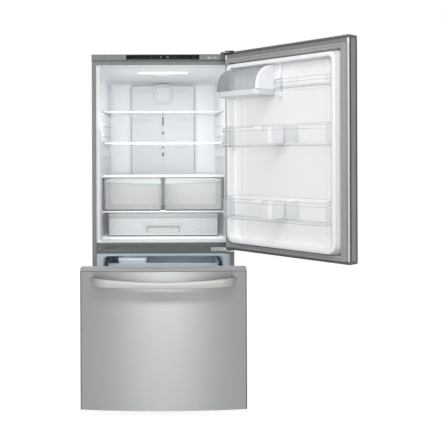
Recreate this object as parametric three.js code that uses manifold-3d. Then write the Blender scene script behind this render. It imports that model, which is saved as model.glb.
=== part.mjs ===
// Free-standing bottom freezer refrigerator, in millimetres, +Z up, with the front towards -Y.
// Inside the cabinet frame x = 0 is the middle of the case, y = 0 its front face and z = 0 the floor.
// The door is shown swung open and the freezer drawer pulled out; both are drawn closed and then placed.
import * as THREE from 'three';
import { mergeVertices } from 'three/addons/utils/BufferGeometryUtils.js';
import Module from 'manifold-3d';

const wasm = await Module();
wasm.setup();

// ---- driving dimensions: cabinet ----
const caseWidth = 756;
const caseDepth = 700;
const caseTop = 1730;
const caseUnderside = 32;
const sheet = 1;
const flangeWidth = 24;
const topFlangeHeight = 23;
const trimHeight = 34;
const linerWall = 2.4;
const seat = 0.3;

// ---- driving dimensions: fronts ----
const frontEdgeThickness = 66.5;
const frontBulge = 22;
const frontCorner = 9;
const frontStandOff = 19;
const drawerFrontBottom = 43;
const drawerFrontHeight = 640;
const frontGap = 18.5;
const capHeight = 14;
const gasketWidth = 26;
const gasketMargin = 12;
const gasketSqueeze = 0.6;
const rimLean = 4;

// ---- driving dimensions: rest pose ----
const doorOpenAngle = 131.5;
const drawerPullOut = 475;
const hingeInset = 17;
const pinRadius = 5;
const pinClearance = 0.4;

// ---- driving dimensions: fresh food room ----
const mullionHeight = 60;
const mullionDepth = 30;
const mouthDepth = 16;
const wallInsulation = 42;
const freshDraft = 14;
const freshDepth = 580;
const freshCeilingDrop = 33;
const floorStep = 14;
const ribDepth = 9;
const ribHeight = 8;

// ---- driving dimensions: shelves and drawers ----
const shelfFront = 112;
const shelfBack = 520;
const shelfHeight = 10;
const upperShelfDrop = 239;
const middleShelfDrop = 3.5;
const pantryHeight = 124;
const pantrySideGap = 19;
const crisperDeckRise = 130;
const crisperDeckHeight = 13;
const crisperCoverRise = 318;
const crisperCoverHeight = 19;
const crisperPostWidth = 14;
const crisperFront = 118;
const crisperBack = 500;
const drawerWall = 2.5;

// ---- driving dimensions: freezer room ----
const freezerInsulation = 60;
const freezerFloor = 66;
const freezerCeilingDrop = 14;
const freezerDepth = 560;
const machineRoomDepth = 220;
const machineRoomHeight = 258;
const machineInsulation = 60;
const railHeight = 50;
const railDrop = 96;
const railLength = 400;
const railFront = 12;
const basketFront = 12;
const basketDepth = 378;
const basketBottom = 90;
const trayDrop = 121;
const trayHeight = 76;
const trayInset = 14;
const trayFront = 60;
const trayBackGap = 30;
const evaporatorDepth = 60;
const iceBinInset = 59;
const iceBinWidth = 153;
const iceBinDepth = 220;
const iceBinRise = 24;

// ---- driving dimensions: feet and rollers ----
const legInset = 48;
const legY = 40;
const legPadRadius = 18;
const legStemRadius = 5;
const rollerRadius = 15;
const rollerFromBack = 60;
const rollerInset = 58;
const axleRadius = 4;

// ---- sizes worked out from the driving dimensions ----
const halfCase = caseWidth / 2;
const mouthHalf = halfCase - flangeWidth;
const legX = halfCase - legInset;
const rollerY = caseDepth - rollerFromBack;
const rollerX = halfCase - rollerInset;
const freshHalfWidth = halfCase - wallInsulation;
const freshBackHalfWidth = freshHalfWidth - freshDraft;
const freezerHalfWidth = halfCase - freezerInsulation;
const frontInnerY = -frontStandOff;
const frontEdgeY = frontInnerY - frontEdgeThickness;
const drawerFrontTop = drawerFrontBottom + drawerFrontHeight;
const doorBottom = drawerFrontTop + frontGap;
const doorTop = caseTop;
const mullionBottom = drawerFrontTop - 12;
const mullionTop = mullionBottom + mullionHeight;
const freshMouthTop = caseTop - trimHeight - topFlangeHeight;
const freshFloor = mullionTop + 6;
const freshCeiling = freshMouthTop - 7;
const deckFloor = freshFloor + floorStep;
const pantryHalfWidth = freshBackHalfWidth - pantrySideGap;
const pantryTop = deckFloor + pantryHeight;
const crisperDeckBottom = deckFloor + crisperDeckRise;
const crisperCoverBottom = deckFloor + crisperCoverRise;
const crisperCoverTop = crisperCoverBottom + crisperCoverHeight;
const upperShelfBottom = freshCeiling - upperShelfDrop;
const middleShelfBottom = (upperShelfBottom + crisperCoverTop) / 2 - middleShelfDrop;
const chassisTop = caseUnderside + 2;
const machineRoomFront = caseDepth - machineRoomDepth;
const machineRoomTop = caseUnderside + machineRoomHeight;
const freezerCeiling = mullionBottom - freezerCeilingDrop;
const trayBottom = freezerCeiling - trayDrop;
const trayTop = trayBottom + trayHeight;
const railBottom = trayBottom - railDrop;
const freezerStepFront = machineRoomFront - machineInsulation;
const freezerStepTop = machineRoomTop + machineInsulation;
const pinX = halfCase - hingeInset;
const pinY = frontInnerY - 29;

// ---- materials ----
function finish(color, roughness, metalness = 0, opacity = 1) {
  const see = opacity < 1;
  return new THREE.MeshStandardMaterial({ color, roughness, metalness, opacity, transparent: see });
}
const stainless = finish(0xb4b5b3, 0.34, 1);
const satinHandle = finish(0xc3bdb2, 0.3, 1);
const greySteel = finish(0x9a9c9a, 0.5, 0.4);
const galvanised = finish(0x9aa0a3, 0.5, 0.8);
const hingeSteel = finish(0xc8cbcc, 0.35, 1);
const trimGrey = finish(0xb9bfc2, 0.45);
const darkGrey = finish(0x5d625f, 0.55);
const capGrey = finish(0x84878a, 0.5);
const linerWhite = finish(0xe6ebec, 0.42);
const freezerWhite = finish(0xd4dde2, 0.45);
const foamYellow = finish(0xe3d59c, 0.95);
const gasketGrey = finish(0x989b99, 0.8);
const displayBlack = finish(0x101214, 0.12);
const clearPlastic = finish(0xdfe9ec, 0.12, 0, 0.4);
const smokyPlastic = finish(0xb5bcc2, 0.15, 0, 0.55);
const guideWhite = finish(0xf4f6f8, 0.35);
const lightLens = finish(0xffffff, 0.3);
const iceGrey = finish(0xb9c3cb, 0.4);
const blackPlastic = finish(0x1c1d1e, 0.5);
const compressorBlack = finish(0x17181a, 0.45, 0.3);
const aluminium = finish(0xc9ccce, 0.4, 1);
const zincSteel = finish(0xaeb2b4, 0.42, 0.9);

// ---- closed shapes from three.js geometry, joined and cut as solids ----
const axisFrames = {
  x: new THREE.Matrix4().makeBasis(
    new THREE.Vector3(0, 1, 0), new THREE.Vector3(0, 0, 1), new THREE.Vector3(1, 0, 0)),
  y: new THREE.Matrix4().makeBasis(
    new THREE.Vector3(1, 0, 0), new THREE.Vector3(0, 0, 1), new THREE.Vector3(0, -1, 0)),
  z: new THREE.Matrix4(),
};

function solidOf(geometry) {
  const bare = geometry.clone();
  bare.deleteAttribute('normal');
  bare.deleteAttribute('uv');
  const merged = mergeVertices(bare, 1e-4);
  return new wasm.Manifold(new wasm.Mesh({
    numProp: 3,
    vertProperties: new Float32Array(merged.attributes.position.array),
    triVerts: new Uint32Array(merged.index.array),
  }));
}

function geometryOf(solid) {
  const mesh = solid.getMesh();
  const geometry = new THREE.BufferGeometry();
  geometry.setAttribute('position', new THREE.BufferAttribute(new Float32Array(mesh.vertProperties), 3));
  geometry.setIndex(new THREE.BufferAttribute(new Uint32Array(mesh.triVerts), 1));
  geometry.computeVertexNormals();
  return geometry;
}

function join(first, ...rest) {
  return rest.reduce((sum, next) => sum.add(next), first);
}

function cut(first, ...rest) {
  return rest.reduce((left, next) => left.subtract(next), first);
}

function block(x0, x1, y0, y1, z0, z1) {
  const box = new THREE.BoxGeometry(x1 - x0, y1 - y0, z1 - z0);
  box.translate((x0 + x1) / 2, (y0 + y1) / 2, (z0 + z1) / 2);
  return solidOf(box);
}

// A block whose cross-section changes evenly from its front rectangle to its back rectangle.
function taperedBlock(front, back) {
  const box = new THREE.BoxGeometry(2, 2, 2);
  const corner = box.attributes.position;
  for (let i = 0; i < corner.count; i += 1) {
    const end = corner.getY(i) < 0 ? front : back;
    const x = corner.getX(i) < 0 ? end.x0 : end.x1;
    const z = corner.getZ(i) < 0 ? end.z0 : end.z1;
    corner.setXYZ(i, x, end.y, z);
  }
  return solidOf(box);
}

// A flat shape carried along an axis: along x it lies in (y, z), along y in (x, z), along z in (x, y).
function prism(shape, axis, from, to, curveSegments = 6) {
  const settings = { depth: to - from, bevelEnabled: false, curveSegments };
  const geometry = new THREE.ExtrudeGeometry(shape, settings);
  geometry.translate(0, 0, axis === 'y' ? -to : from);
  geometry.applyMatrix4(axisFrames[axis]);
  return solidOf(geometry);
}

function disc(u, v, radius) {
  const shape = new THREE.Shape();
  shape.absarc(u, v, radius, 0, Math.PI * 2, false);
  return shape;
}

function polygon(points) {
  return new THREE.Shape(points.map(([u, v]) => new THREE.Vector2(u, v)));
}

function roundedRect(u0, u1, v0, v1, radius) {
  const shape = new THREE.Shape();
  shape.moveTo(u0 + radius, v0);
  shape.lineTo(u1 - radius, v0);
  shape.absarc(u1 - radius, v0 + radius, radius, -Math.PI / 2, 0, false);
  shape.lineTo(u1, v1 - radius);
  shape.absarc(u1 - radius, v1 - radius, radius, 0, Math.PI / 2, false);
  shape.lineTo(u0 + radius, v1);
  shape.absarc(u0 + radius, v1 - radius, radius, Math.PI / 2, Math.PI, false);
  shape.lineTo(u0, v0 + radius);
  shape.absarc(u0 + radius, v0 + radius, radius, Math.PI, Math.PI * 1.5, false);
  return shape;
}

function rod(axis, u, v, radius, from, to, curveSegments = 6) {
  return prism(disc(u, v, radius), axis, from, to, curveSegments);
}

function frameRing(outer, inner, axis, from, to) {
  return cut(prism(outer, axis, from, to, 3), prism(inner, axis, from - 1, to + 1, 3));
}

// Turned about an upright axis at (x, y); the profile runs from the axis and back to it.
function turned(profile, x, y, segments) {
  const lathe = new THREE.LatheGeometry(profile.map(([r, z]) => new THREE.Vector2(r, z)), segments);
  lathe.rotateX(Math.PI / 2);
  lathe.translate(x, y, 0);
  return solidOf(lathe);
}

function tube(points, radius, steps) {
  const curve = new THREE.CatmullRomCurve3(points.map(([x, y, z]) => new THREE.Vector3(x, y, z)));
  const section = disc(0, 0, radius);
  const settings = { steps, curveSegments: 4, bevelEnabled: false, extrudePath: curve };
  return solidOf(new THREE.ExtrudeGeometry(section, settings));
}

function place(group, name, solid, material) {
  const mesh = new THREE.Mesh(geometryOf(solid), material.clone());
  mesh.name = name;
  group.add(mesh);
}

// ---- groups ----
const refrigerator = new THREE.Group();
const cabinet = new THREE.Group();
cabinet.position.set(legX, -legY, 0);
refrigerator.add(cabinet);

const doorSwing = new THREE.Group();
doorSwing.position.set(pinX, pinY, 0);
doorSwing.rotation.z = THREE.MathUtils.degToRad(doorOpenAngle);
cabinet.add(doorSwing);
const door = new THREE.Group();
door.position.set(-pinX, -pinY, 0);
doorSwing.add(door);

const freezerDrawer = new THREE.Group();
freezerDrawer.position.y = -drawerPullOut;
cabinet.add(freezerDrawer);
const middleRails = new THREE.Group();
middleRails.position.y = -drawerPullOut / 2;
cabinet.add(middleRails);

// ---- rooms ----
// Half width, floor and ceiling of the fresh food room at a depth y behind its mouth.
function freshShare(y) {
  return (y - mouthDepth) / (freshDepth - mouthDepth);
}

function freshHalf(y) {
  return THREE.MathUtils.lerp(freshHalfWidth, freshBackHalfWidth, freshShare(y));
}

function freshTop(y) {
  return freshCeiling - freshCeilingDrop * freshShare(y);
}

function freshSection(y, half, bottom, top, grow) {
  return { y, x0: -half - grow, x1: half + grow, z0: bottom - grow, z1: top + grow };
}

function freshRoom(grow) {
  const lip = linerWall + seat;
  const mouth = freshSection(0, mouthHalf - lip, mullionTop + lip, freshMouthTop - lip, grow);
  const throat = freshSection(mouthDepth, freshHalfWidth, freshFloor, freshCeiling, grow);
  const back = freshSection(freshDepth, freshBackHalfWidth, freshFloor, freshTop(freshDepth), grow);
  back.y += grow;
  return join(taperedBlock(mouth, throat), taperedBlock(throat, back));
}

function freezerRoom(grow) {
  const room = block(-freezerHalfWidth - grow, freezerHalfWidth + grow, 0, freezerDepth + grow,
    freezerFloor - grow, freezerCeiling + grow);
  const step = block(-caseWidth, caseWidth, freezerStepFront + grow, caseDepth,
    0, freezerStepTop - grow);
  return cut(room, step);
}

// ---- cabinet shell ----
function buildOuterCase() {
  const outside = block(-halfCase, halfCase, 0, caseDepth, caseUnderside, caseTop);
  const inside = block(-halfCase + sheet, halfCase - sheet, sheet, caseDepth + 1,
    caseUnderside - 1, caseTop - sheet);
  const mouth = block(-mouthHalf, mouthHalf, -1, sheet + 1, caseUnderside - 1, freshMouthTop);
  place(cabinet, 'outer_case', cut(outside, inside, mouth), greySteel);
}

function buildBackPanel() {
  const half = halfCase - sheet - seat;
  const panel = block(-half, half, caseDepth - sheet, caseDepth, machineRoomTop + seat,
    caseTop - sheet - seat);
  place(cabinet, 'back_panel', panel, galvanised);
}

function buildChassis() {
  const half = halfCase - sheet - seat;
  const cheekTop = machineRoomTop - seat;
  const bossRadius = legStemRadius + 7;
  const bossBottom = 14;
  let chassis = block(-half, half, sheet + seat, caseDepth - seat, caseUnderside, chassisTop);
  for (const side of [-1, 1]) {
    const outer = side * half;
    const inner = side * (half - 2);
    const cheek = block(Math.min(outer, inner), Math.max(outer, inner), machineRoomFront + seat,
      caseDepth - 4, chassisTop - 0.5, cheekTop);
    chassis = join(chassis, cheek);
    chassis = join(chassis, rod('z', side * legX, legY, bossRadius, bossBottom, caseUnderside + 1));
    for (const reach of [-16, 13]) {
      const x = side * rollerX + reach;
      chassis = join(chassis, block(x, x + 3, rollerY - 14, rollerY + 14, 8, caseUnderside + 1));
    }
  }
  const axleHole = rod('x', rollerY, rollerRadius, axleRadius + pinClearance, -halfCase, halfCase);
  chassis = cut(chassis, axleHole);
  for (const side of [-1, 1]) {
    const bore = legStemRadius + pinClearance;
    chassis = cut(chassis, rod('z', side * legX, legY, bore, 0, caseUnderside));
  }
  place(cabinet, 'chassis_base', chassis, galvanised);
}

function buildFoam() {
  const half = halfCase - sheet - seat;
  const bulk = block(-half, half, sheet + seat, caseDepth - sheet - seat, chassisTop + seat,
    caseTop - sheet - seat);
  const machineRoom = block(-caseWidth, caseWidth, machineRoomFront, caseDepth + 1, 0, machineRoomTop);
  const mullion = block(-mouthHalf, mouthHalf, -1, mullionDepth + seat, mullionBottom - seat,
    mullionTop + seat);
  const freezerLip = block(-mouthHalf, mouthHalf, -1, linerWall + seat, 0, mullionBottom);
  const foam = cut(bulk, freshRoom(linerWall + seat), freezerRoom(linerWall + seat), machineRoom,
    mullion, freezerLip);
  place(cabinet, 'cabinet_foam', foam, foamYellow);
}

function buildFreshFoodLiner() {
  const mouth = block(-mouthHalf + 3, mouthHalf - 3, -1, 0.5, mullionTop + 3, freshMouthTop - 3);
  let liner = cut(freshRoom(linerWall), freshRoom(0), mouth);
  const stepFront = shelfFront - 6;
  const ribFront = shelfFront + 20;
  const wallBite = linerWall / 2;
  function wallRib(z0, z1, depth) {
    const pair = [-1, 1].map((side) => {
      const ends = [ribFront, shelfBack + 20].map((y) => {
        const outer = side * (freshHalf(y) + wallBite);
        const inner = side * (freshHalf(y) - depth);
        return { y, x0: Math.min(outer, inner), x1: Math.max(outer, inner), z0, z1 };
      });
      return taperedBlock(ends[0], ends[1]);
    });
    return join(...pair);
  }
  const shelfLevels = [upperShelfBottom, middleShelfBottom, crisperCoverBottom, crisperDeckBottom];
  const spareLevels = [upperShelfBottom - 57, upperShelfBottom - 117, middleShelfBottom - 62];
  for (const level of [...shelfLevels, ...spareLevels]) {
    liner = join(liner, wallRib(level - seat - ribHeight, level - seat, ribDepth));
  }
  const stepEnds = [stepFront, freshDepth + wallBite].map((y) => {
    const half = freshHalf(y) + wallBite;
    return { y, x0: -half, x1: half, z0: freshFloor - wallBite, z1: deckFloor };
  });
  liner = join(liner, taperedBlock(stepEnds[0], stepEnds[1]));
  const guideDepth = freshHalf(shelfBack) - pantryHalfWidth - 1.2;
  liner = join(liner, wallRib(deckFloor - 1, deckFloor + 14, guideDepth));
  const domeY = 304;
  const domeRadius = 50;
  const domeTop = freshTop(domeY + domeRadius) + wallBite;
  liner = join(liner, rod('z', 0, domeY, domeRadius, freshTop(domeY) - 7, domeTop, 8));
  place(cabinet, 'fresh_food_liner', liner, linerWhite);
}

function buildFreezerLiner() {
  const lipHalf = mouthHalf - seat;
  const opening = roundedRect(-freezerHalfWidth, freezerHalfWidth, freezerFloor, freezerCeiling, 25);
  const lip = block(-lipHalf, lipHalf, 0, linerWall, caseUnderside + 4, mullionBottom - seat);
  const mouth = block(-freezerHalfWidth, freezerHalfWidth, -1, 1, freezerFloor, freezerCeiling);
  let liner = cut(join(lip, freezerRoom(linerWall)), join(freezerRoom(0), mouth));
  const corners = cut(block(-freezerHalfWidth - 1, freezerHalfWidth + 1, 0, linerWall,
    freezerFloor - 1, freezerCeiling + 1), prism(opening, 'y', -1, linerWall + 1, 5));
  liner = join(liner, corners);
  for (const side of [-1, 1]) {
    const outer = side * (freezerHalfWidth + linerWall / 2);
    const inner = side * (freezerHalfWidth - 20);
    liner = join(liner, block(Math.min(outer, inner), Math.max(outer, inner), 40,
      freezerDepth - 75, trayBottom - 16, trayBottom - seat));
  }
  place(cabinet, 'freezer_liner', liner, freezerWhite);
}

function buildMullionCover() {
  const half = mouthHalf - seat;
  const cover = block(-half, half, 0, mullionDepth, mullionBottom, mullionTop);
  const hollow = block(-half + 2, half - 2, 2, mullionDepth + 1, mullionBottom + 2, mullionTop - 2);
  const recessX = -(mouthHalf - 73);
  const recessZ = mullionBottom + 29;
  const recess = prism(roundedRect(recessX - 26, recessX + 26, recessZ - 8, recessZ + 8, 7.9), 'y',
    -1, 0.8, 4);
  place(cabinet, 'mullion_cover', cut(cover, hollow, recess), capGrey);
}

// ---- top trim, display and door switch ----
const trimThickness = 12;
const trimWall = 3.2;
const trimRight = halfCase - 70;
const displayHalf = 193.8;
const buttonX = trimRight - 46;
const buttonRadius = 4.5;
const plateHalf = 26.5;
const grooveX = -(halfCase - 69);

function trimProfile(thickness, bottom, top, bend) {
  const back = -seat;
  const front = -seat - thickness;
  return polygon([
    [back, bottom], [back, top], [front + bend, top], [front, top - bend],
    [front, bottom + bend], [front + bend, bottom],
  ]);
}

function buildControlHousing() {
  const bottom = caseTop - trimHeight + seat;
  const top = caseTop - seat;
  const front = -seat - trimThickness;
  const innerFront = front + trimWall;
  const buttonZ = (bottom + top) / 2 - 3;
  let housing = prism(trimProfile(trimThickness, bottom, top, 3), 'x', -halfCase + seat, trimRight);
  const hollow = block(-halfCase + 3, trimRight - 3, innerFront, 1, bottom + 2, top - 2);
  const displaySlot = block(-displayHalf - seat, displayHalf + seat, front - 1, front + 1.8,
    bottom + 5, top - 4);
  const fillerGroove = block(grooveX - 0.5, grooveX + 0.5, front - 1, front + 1, bottom - 1, top + 1);
  housing = cut(housing, hollow, displaySlot, fillerGroove);
  const plate = prism(roundedRect(buttonX - plateHalf, buttonX + plateHalf, buttonZ - 6, buttonZ + 6, 5),
    'y', front - 0.8, front + 0.5, 3);
  const bore = rod('y', buttonX, buttonZ, buttonRadius + pinClearance, front - 3, innerFront + 1);
  place(cabinet, 'control_housing', cut(join(housing, plate), bore), trimGrey);

  const display = block(-displayHalf, displayHalf, front + 0.2, front + 1.5, bottom + 5 + seat,
    top - 4 - seat);
  place(cabinet, 'display_panel', display, displayBlack);

  const stem = rod('y', buttonX, buttonZ, buttonRadius, front - 3.5, innerFront + 1.5);
  const collar = rod('y', buttonX, buttonZ, buttonRadius + 2.5, innerFront + seat, innerFront + 2);
  place(cabinet, 'switch_button', join(stem, collar), darkGrey);
}

// ---- hinges ----
function buildHinges() {
  const armTop = caseTop + 3 + seat;
  const armFront = pinY - 12;
  const arm = prism(roundedRect(pinX - 40, pinX + 11, armFront, 58, 10), 'z', caseTop + seat, armTop, 3);
  const pin = rod('z', pinX, pinY, pinRadius, caseTop - capHeight + 2, armTop);
  const head = rod('z', pinX, pinY, 9, armTop - 1, armTop + 4);
  let topHinge = join(arm, pin, head);
  for (const [x, y] of [[-28, 66], [-2, 66], [-28, 96]]) {
    topHinge = join(topHinge, rod('z', pinX + x, pinY + y, 6, armTop - 1, armTop + 3, 3));
  }
  place(cabinet, 'top_hinge', topHinge, hingeSteel);

  const coverTop = caseTop + 11;
  const coverX0 = trimRight + 1;
  const coverX1 = halfCase - seat;
  const coverBottom = caseTop - trimHeight + seat;
  const front = prism(trimProfile(trimThickness, coverBottom, coverTop, 3), 'x', coverX0, coverX1);
  const lid = block(coverX0, coverX1, -seat - 1, 68, caseTop + seat, coverTop);
  const lidHollow = block(coverX0 + 2, coverX1 - 2, -seat - trimThickness - 1, 66, caseTop - 1,
    coverTop - 2);
  const frontHollow = block(coverX0 + 2, coverX1 - 2, -seat - trimThickness + 2.4, 1,
    coverBottom + 2, coverTop - 2);
  const slot = block(coverX0 + 2, coverX1 - 2, -seat - trimThickness - 1, 0, caseTop - 1, armTop + 1);
  const bridge = block(coverX0 + 4, coverX1 - 4, -seat - trimThickness + seat, -4, armTop + 1,
    coverTop - 1);
  const cover = cut(join(cut(join(front, lid), lidHollow, frontHollow), bridge), slot);
  place(cabinet, 'top_hinge_cover', cover, darkGrey);

  const leafBottom = mullionBottom + 13;
  const leafTop = doorBottom + 3;
  const leafX = pinX - 62;
  const leafHalf = 47;
  const leaf = prism(roundedRect(leafX - leafHalf, leafX + leafHalf, leafBottom, leafTop, 4), 'y',
    -3 - seat, -seat, 2);
  const tongue = prism(roundedRect(pinX - 34, pinX + 11, armFront, -1, 10), 'z', leafBottom + 4,
    leafBottom + 9, 3);
  const lowerPin = rod('z', pinX, pinY, pinRadius, leafBottom + 5, doorBottom + capHeight - 2);
  let midHinge = join(leaf, tongue, lowerPin);
  for (const reach of [-33, -11, 11]) {
    midHinge = join(midHinge, rod('y', leafX + reach, (leafBottom + leafTop) / 2, 6, -3 - seat - 2.2,
      -2, 4));
  }
  place(cabinet, 'mid_hinge', midHinge, hingeSteel);
}

// ---- toe grille, legs and rollers ----
function buildBase() {
  const grilleHalf = halfCase - 28;
  const grilleBottom = 6;
  const slotCount = 14;
  const pitch = (2 * grilleHalf - 40) / slotCount;
  let grille = block(-grilleHalf, grilleHalf, 14, 17, grilleBottom, caseUnderside - seat);
  for (let i = 0; i < slotCount; i += 1) {
    const x = -grilleHalf + 20 + pitch * (i + 0.5);
    grille = cut(grille, block(x - pitch * 0.38, x + pitch * 0.38, 13, 18, 13, 24));
  }
  place(cabinet, 'toe_grille', grille, darkGrey);

  for (const [side, name] of [[-1, 'levelling_leg_left'], [1, 'levelling_leg_right']]) {
    const x = side * legX;
    const profile = [[0, 0], [legPadRadius, 0], [legPadRadius, 6], [legStemRadius, 9],
      [legStemRadius, caseUnderside - 2], [0, caseUnderside - 2]];
    place(cabinet, name, turned(profile, x, legY, 16), blackPlastic);
  }

  const wheelHalf = 9;
  let rollers = rod('x', rollerY, rollerRadius, axleRadius, -rollerX - 24, rollerX + 24);
  for (const side of [-1, 1]) {
    const x = side * rollerX;
    rollers = join(rollers, rod('x', rollerY, rollerRadius, rollerRadius, x - wheelHalf,
      x + wheelHalf, 12));
  }
  place(cabinet, 'rear_rollers', rollers, blackPlastic);
}

// ---- inside the fresh food room ----
function shelfOutline(front, back, inset) {
  return polygon([
    [-freshHalf(front) + 1 + inset, front + inset], [freshHalf(front) - 1 - inset, front + inset],
    [freshHalf(back) - 1 - inset, back - inset], [-freshHalf(back) + 1 + inset, back - inset],
  ]);
}

// A toughened glass plate held in a moulded rim.
function glassShelf(bottom, height, front, back, rim) {
  const body = prism(shelfOutline(front, back, 0), 'z', bottom, bottom + height);
  const glassBottom = bottom + height - 6;
  const glassTop = bottom + height - 1.5;
  const under = prism(shelfOutline(front, back, rim), 'z', bottom - 1, glassBottom);
  const over = prism(shelfOutline(front, back, rim), 'z', glassTop, bottom + height + 1);
  return cut(body, under, over);
}

function buildShelves() {
  const upper = glassShelf(upperShelfBottom, shelfHeight, shelfFront, shelfBack, 14);
  place(cabinet, 'upper_shelf', upper, clearPlastic);
  const middle = glassShelf(middleShelfBottom, shelfHeight + 2, shelfFront, shelfBack, 14);
  place(cabinet, 'middle_shelf', middle, clearPlastic);

  const deckTop = crisperDeckBottom + crisperDeckHeight;
  const postHalf = crisperPostWidth / 2;
  const bayOuter = freshHalf(shelfFront + 18) - 10;
  const cover = glassShelf(crisperCoverBottom, crisperCoverHeight, shelfFront, shelfBack, 14);
  const deck = glassShelf(crisperDeckBottom, crisperDeckHeight, shelfFront, shelfBack, 14);
  const post = block(-postHalf, postHalf, shelfFront + 4, crisperBack, deckTop - 1,
    crisperCoverBottom + 1);
  let frame = join(cover, deck, post);
  for (const side of [-1, 1]) {
    const inner = side * bayOuter;
    const outer = side * (freshHalf(shelfFront + 18) - 1.5);
    frame = join(frame, block(Math.min(inner, outer), Math.max(inner, outer), shelfFront + 1,
      shelfFront + 16, deckTop - 1, crisperCoverBottom + 1));
  }
  place(cabinet, 'crisper_cover', frame, smokyPlastic);
}

function handleLip(x0, x1, front, bodyFront, top) {
  const ends = 20;
  const middle = 30;
  const lip = new THREE.Shape();
  lip.moveTo(x0, top - ends);
  lip.quadraticCurveTo((x0 + x1) / 2, top - 2 * middle + ends, x1, top - ends);
  lip.lineTo(x1, top);
  lip.lineTo(x0, top);
  const face = prism(lip, 'y', front, front + 3, 5);
  const web = block(x0, x1, front + 1, bodyFront + 1, top - 3, top);
  return join(face, web);
}

function openBox(x0, x1, y0, y1, z0, z1, wall) {
  const outside = block(x0, x1, y0, y1, z0, z1);
  const inside = block(x0 + wall, x1 - wall, y0 + wall, y1 - wall, z0 + wall, z1 + 1);
  return cut(outside, inside);
}

function buildFreshDrawers() {
  const bottom = crisperDeckBottom + crisperDeckHeight + seat;
  const top = crisperCoverBottom - ribHeight - 1;
  const inner = crisperPostWidth / 2 + 3;
  const outer = freshHalf(shelfFront + 18) - 10 - 2.5;
  for (const [side, name] of [[-1, 'crisper_left'], [1, 'crisper_right']]) {
    const x0 = Math.min(side * inner, side * outer);
    const x1 = Math.max(side * inner, side * outer);
    const box = openBox(x0, x1, crisperFront, crisperBack, bottom, top, drawerWall);
    const lip = handleLip(x0 + 2, x1 - 2, crisperFront - 14, crisperFront, top);
    place(cabinet, name, join(box, lip), clearPlastic);
  }

  const pantryBottom = deckFloor + seat;
  const faceThickness = 14;
  const box = openBox(-pantryHalfWidth, pantryHalfWidth, shelfFront, crisperBack + 10, pantryBottom,
    pantryTop, drawerWall);
  const face = block(-pantryHalfWidth, pantryHalfWidth, shelfFront, shelfFront + faceThickness,
    pantryBottom, pantryTop);
  const grip = prism(roundedRect(-84, 84, pantryBottom + 20, pantryBottom + 52, 10), 'y',
    shelfFront - 1, shelfFront + faceThickness - 3, 3);
  place(cabinet, 'pantry_drawer', cut(join(box, face), grip), linerWhite);
}

function buildFreshDetails() {
  const ductFront = freshDepth - 28;
  const ductHalf = 194;
  const ductBottom = crisperCoverTop + 7;
  const ductTop = freshTop(freshDepth) - 13;
  const filterZ = ductTop - 54;
  const trackHalf = 13;
  const upperSlotX = 100;
  const lowerSlotX = 119;
  let duct = block(-ductHalf, ductHalf, ductFront, freshDepth - seat, ductBottom, ductTop);
  const hollow = block(-ductHalf + 3, ductHalf - 3, ductFront + 3, freshDepth + 1, ductBottom + 3,
    ductTop - 3);
  duct = cut(duct, hollow);
  const track = block(-trackHalf, trackHalf, ductFront - 4, ductFront + 2, ductBottom + 33,
    upperShelfBottom);
  duct = join(duct, track);
  for (const side of [-1, 1]) {
    for (const z of [filterZ + 18, filterZ + 4, filterZ - 10]) {
      const x = side * upperSlotX;
      duct = cut(duct, block(x - 34, x + 34, ductFront - 1, ductFront + 4, z - 2, z + 2));
    }
    for (const z of [upperShelfBottom - 19, middleShelfBottom - 10]) {
      const x = side * lowerSlotX;
      duct = cut(duct, block(x - 10, x + 10, ductFront - 1, ductFront + 4, z - 4, z + 4));
    }
  }
  const trackHoles = 5;
  for (let i = 0; i < trackHoles; i += 1) {
    const z = ductBottom + 60 + i * 52;
    duct = cut(duct, block(-4, 4, ductFront - 5, ductFront + 4, z, z + 26));
  }
  place(cabinet, 'air_duct_cover', duct, linerWhite);

  const plate = prism(roundedRect(-60, 60, filterZ - 60, filterZ + 60, 40), 'y', ductFront - 9,
    ductFront - seat, 3);
  const ring = prism(roundedRect(-44, 44, filterZ - 44, filterZ + 44, 30), 'y', ductFront - 12,
    ductFront - 8, 3);
  const groove = frameRing(roundedRect(-49, 49, filterZ - 49, filterZ + 49, 33),
    roundedRect(-44, 44, filterZ - 44, filterZ + 44, 30), 'y', ductFront - 10, ductFront - 6);
  place(cabinet, 'air_filter_cap', cut(join(plate, ring), groove), guideWhite);

  const lensEnds = [170, 215].map((y) => {
    return { y, x0: -150, x1: 150, z0: freshTop(y) - 10, z1: freshTop(y) - seat };
  });
  place(cabinet, 'light_lens', taperedBlock(lensEnds[0], lensEnds[1]), lightLens);
}

// ---- cold side and machine room ----
function fanBlades(bladeCount, hubRadius, tipRadius, boreRadius, depth) {
  let fan = cut(rod('z', 0, 0, hubRadius, 0, depth), rod('z', 0, 0, boreRadius, -1, depth + 1));
  for (let i = 0; i < bladeCount; i += 1) {
    const blade = solidOf(new THREE.BoxGeometry(tipRadius - hubRadius + 3, depth * 1.5, 1.6)
      .rotateX(THREE.MathUtils.degToRad(38))
      .translate((tipRadius + hubRadius - 3) / 2, 0, depth / 2));
    fan = join(fan, blade.rotate(0, 0, (360 / bladeCount) * i));
  }
  return fan;
}

const fanRadius = 52;
const fanPin = 3;
const fanHub = 14;
const fanDepth = 18;
const fanBladeCount = 5;

// A plate with a round hole, three spokes and a hub that carries the fan's pin along +z.
function fanCarrier(plate, plateThickness, radius, pinLength) {
  let carrier = cut(plate, rod('z', 0, 0, radius, -1, plateThickness + 1, 10));
  for (const angle of [90, 210, 330]) {
    const spoke = block(0, radius + 2, -3, 3, 0, plateThickness).rotate(0, 0, angle);
    carrier = join(carrier, spoke);
  }
  const hub = rod('z', 0, 0, fanHub, 0, plateThickness + 2);
  return join(carrier, hub, rod('z', 0, 0, fanPin, 0, pinLength));
}

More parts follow.
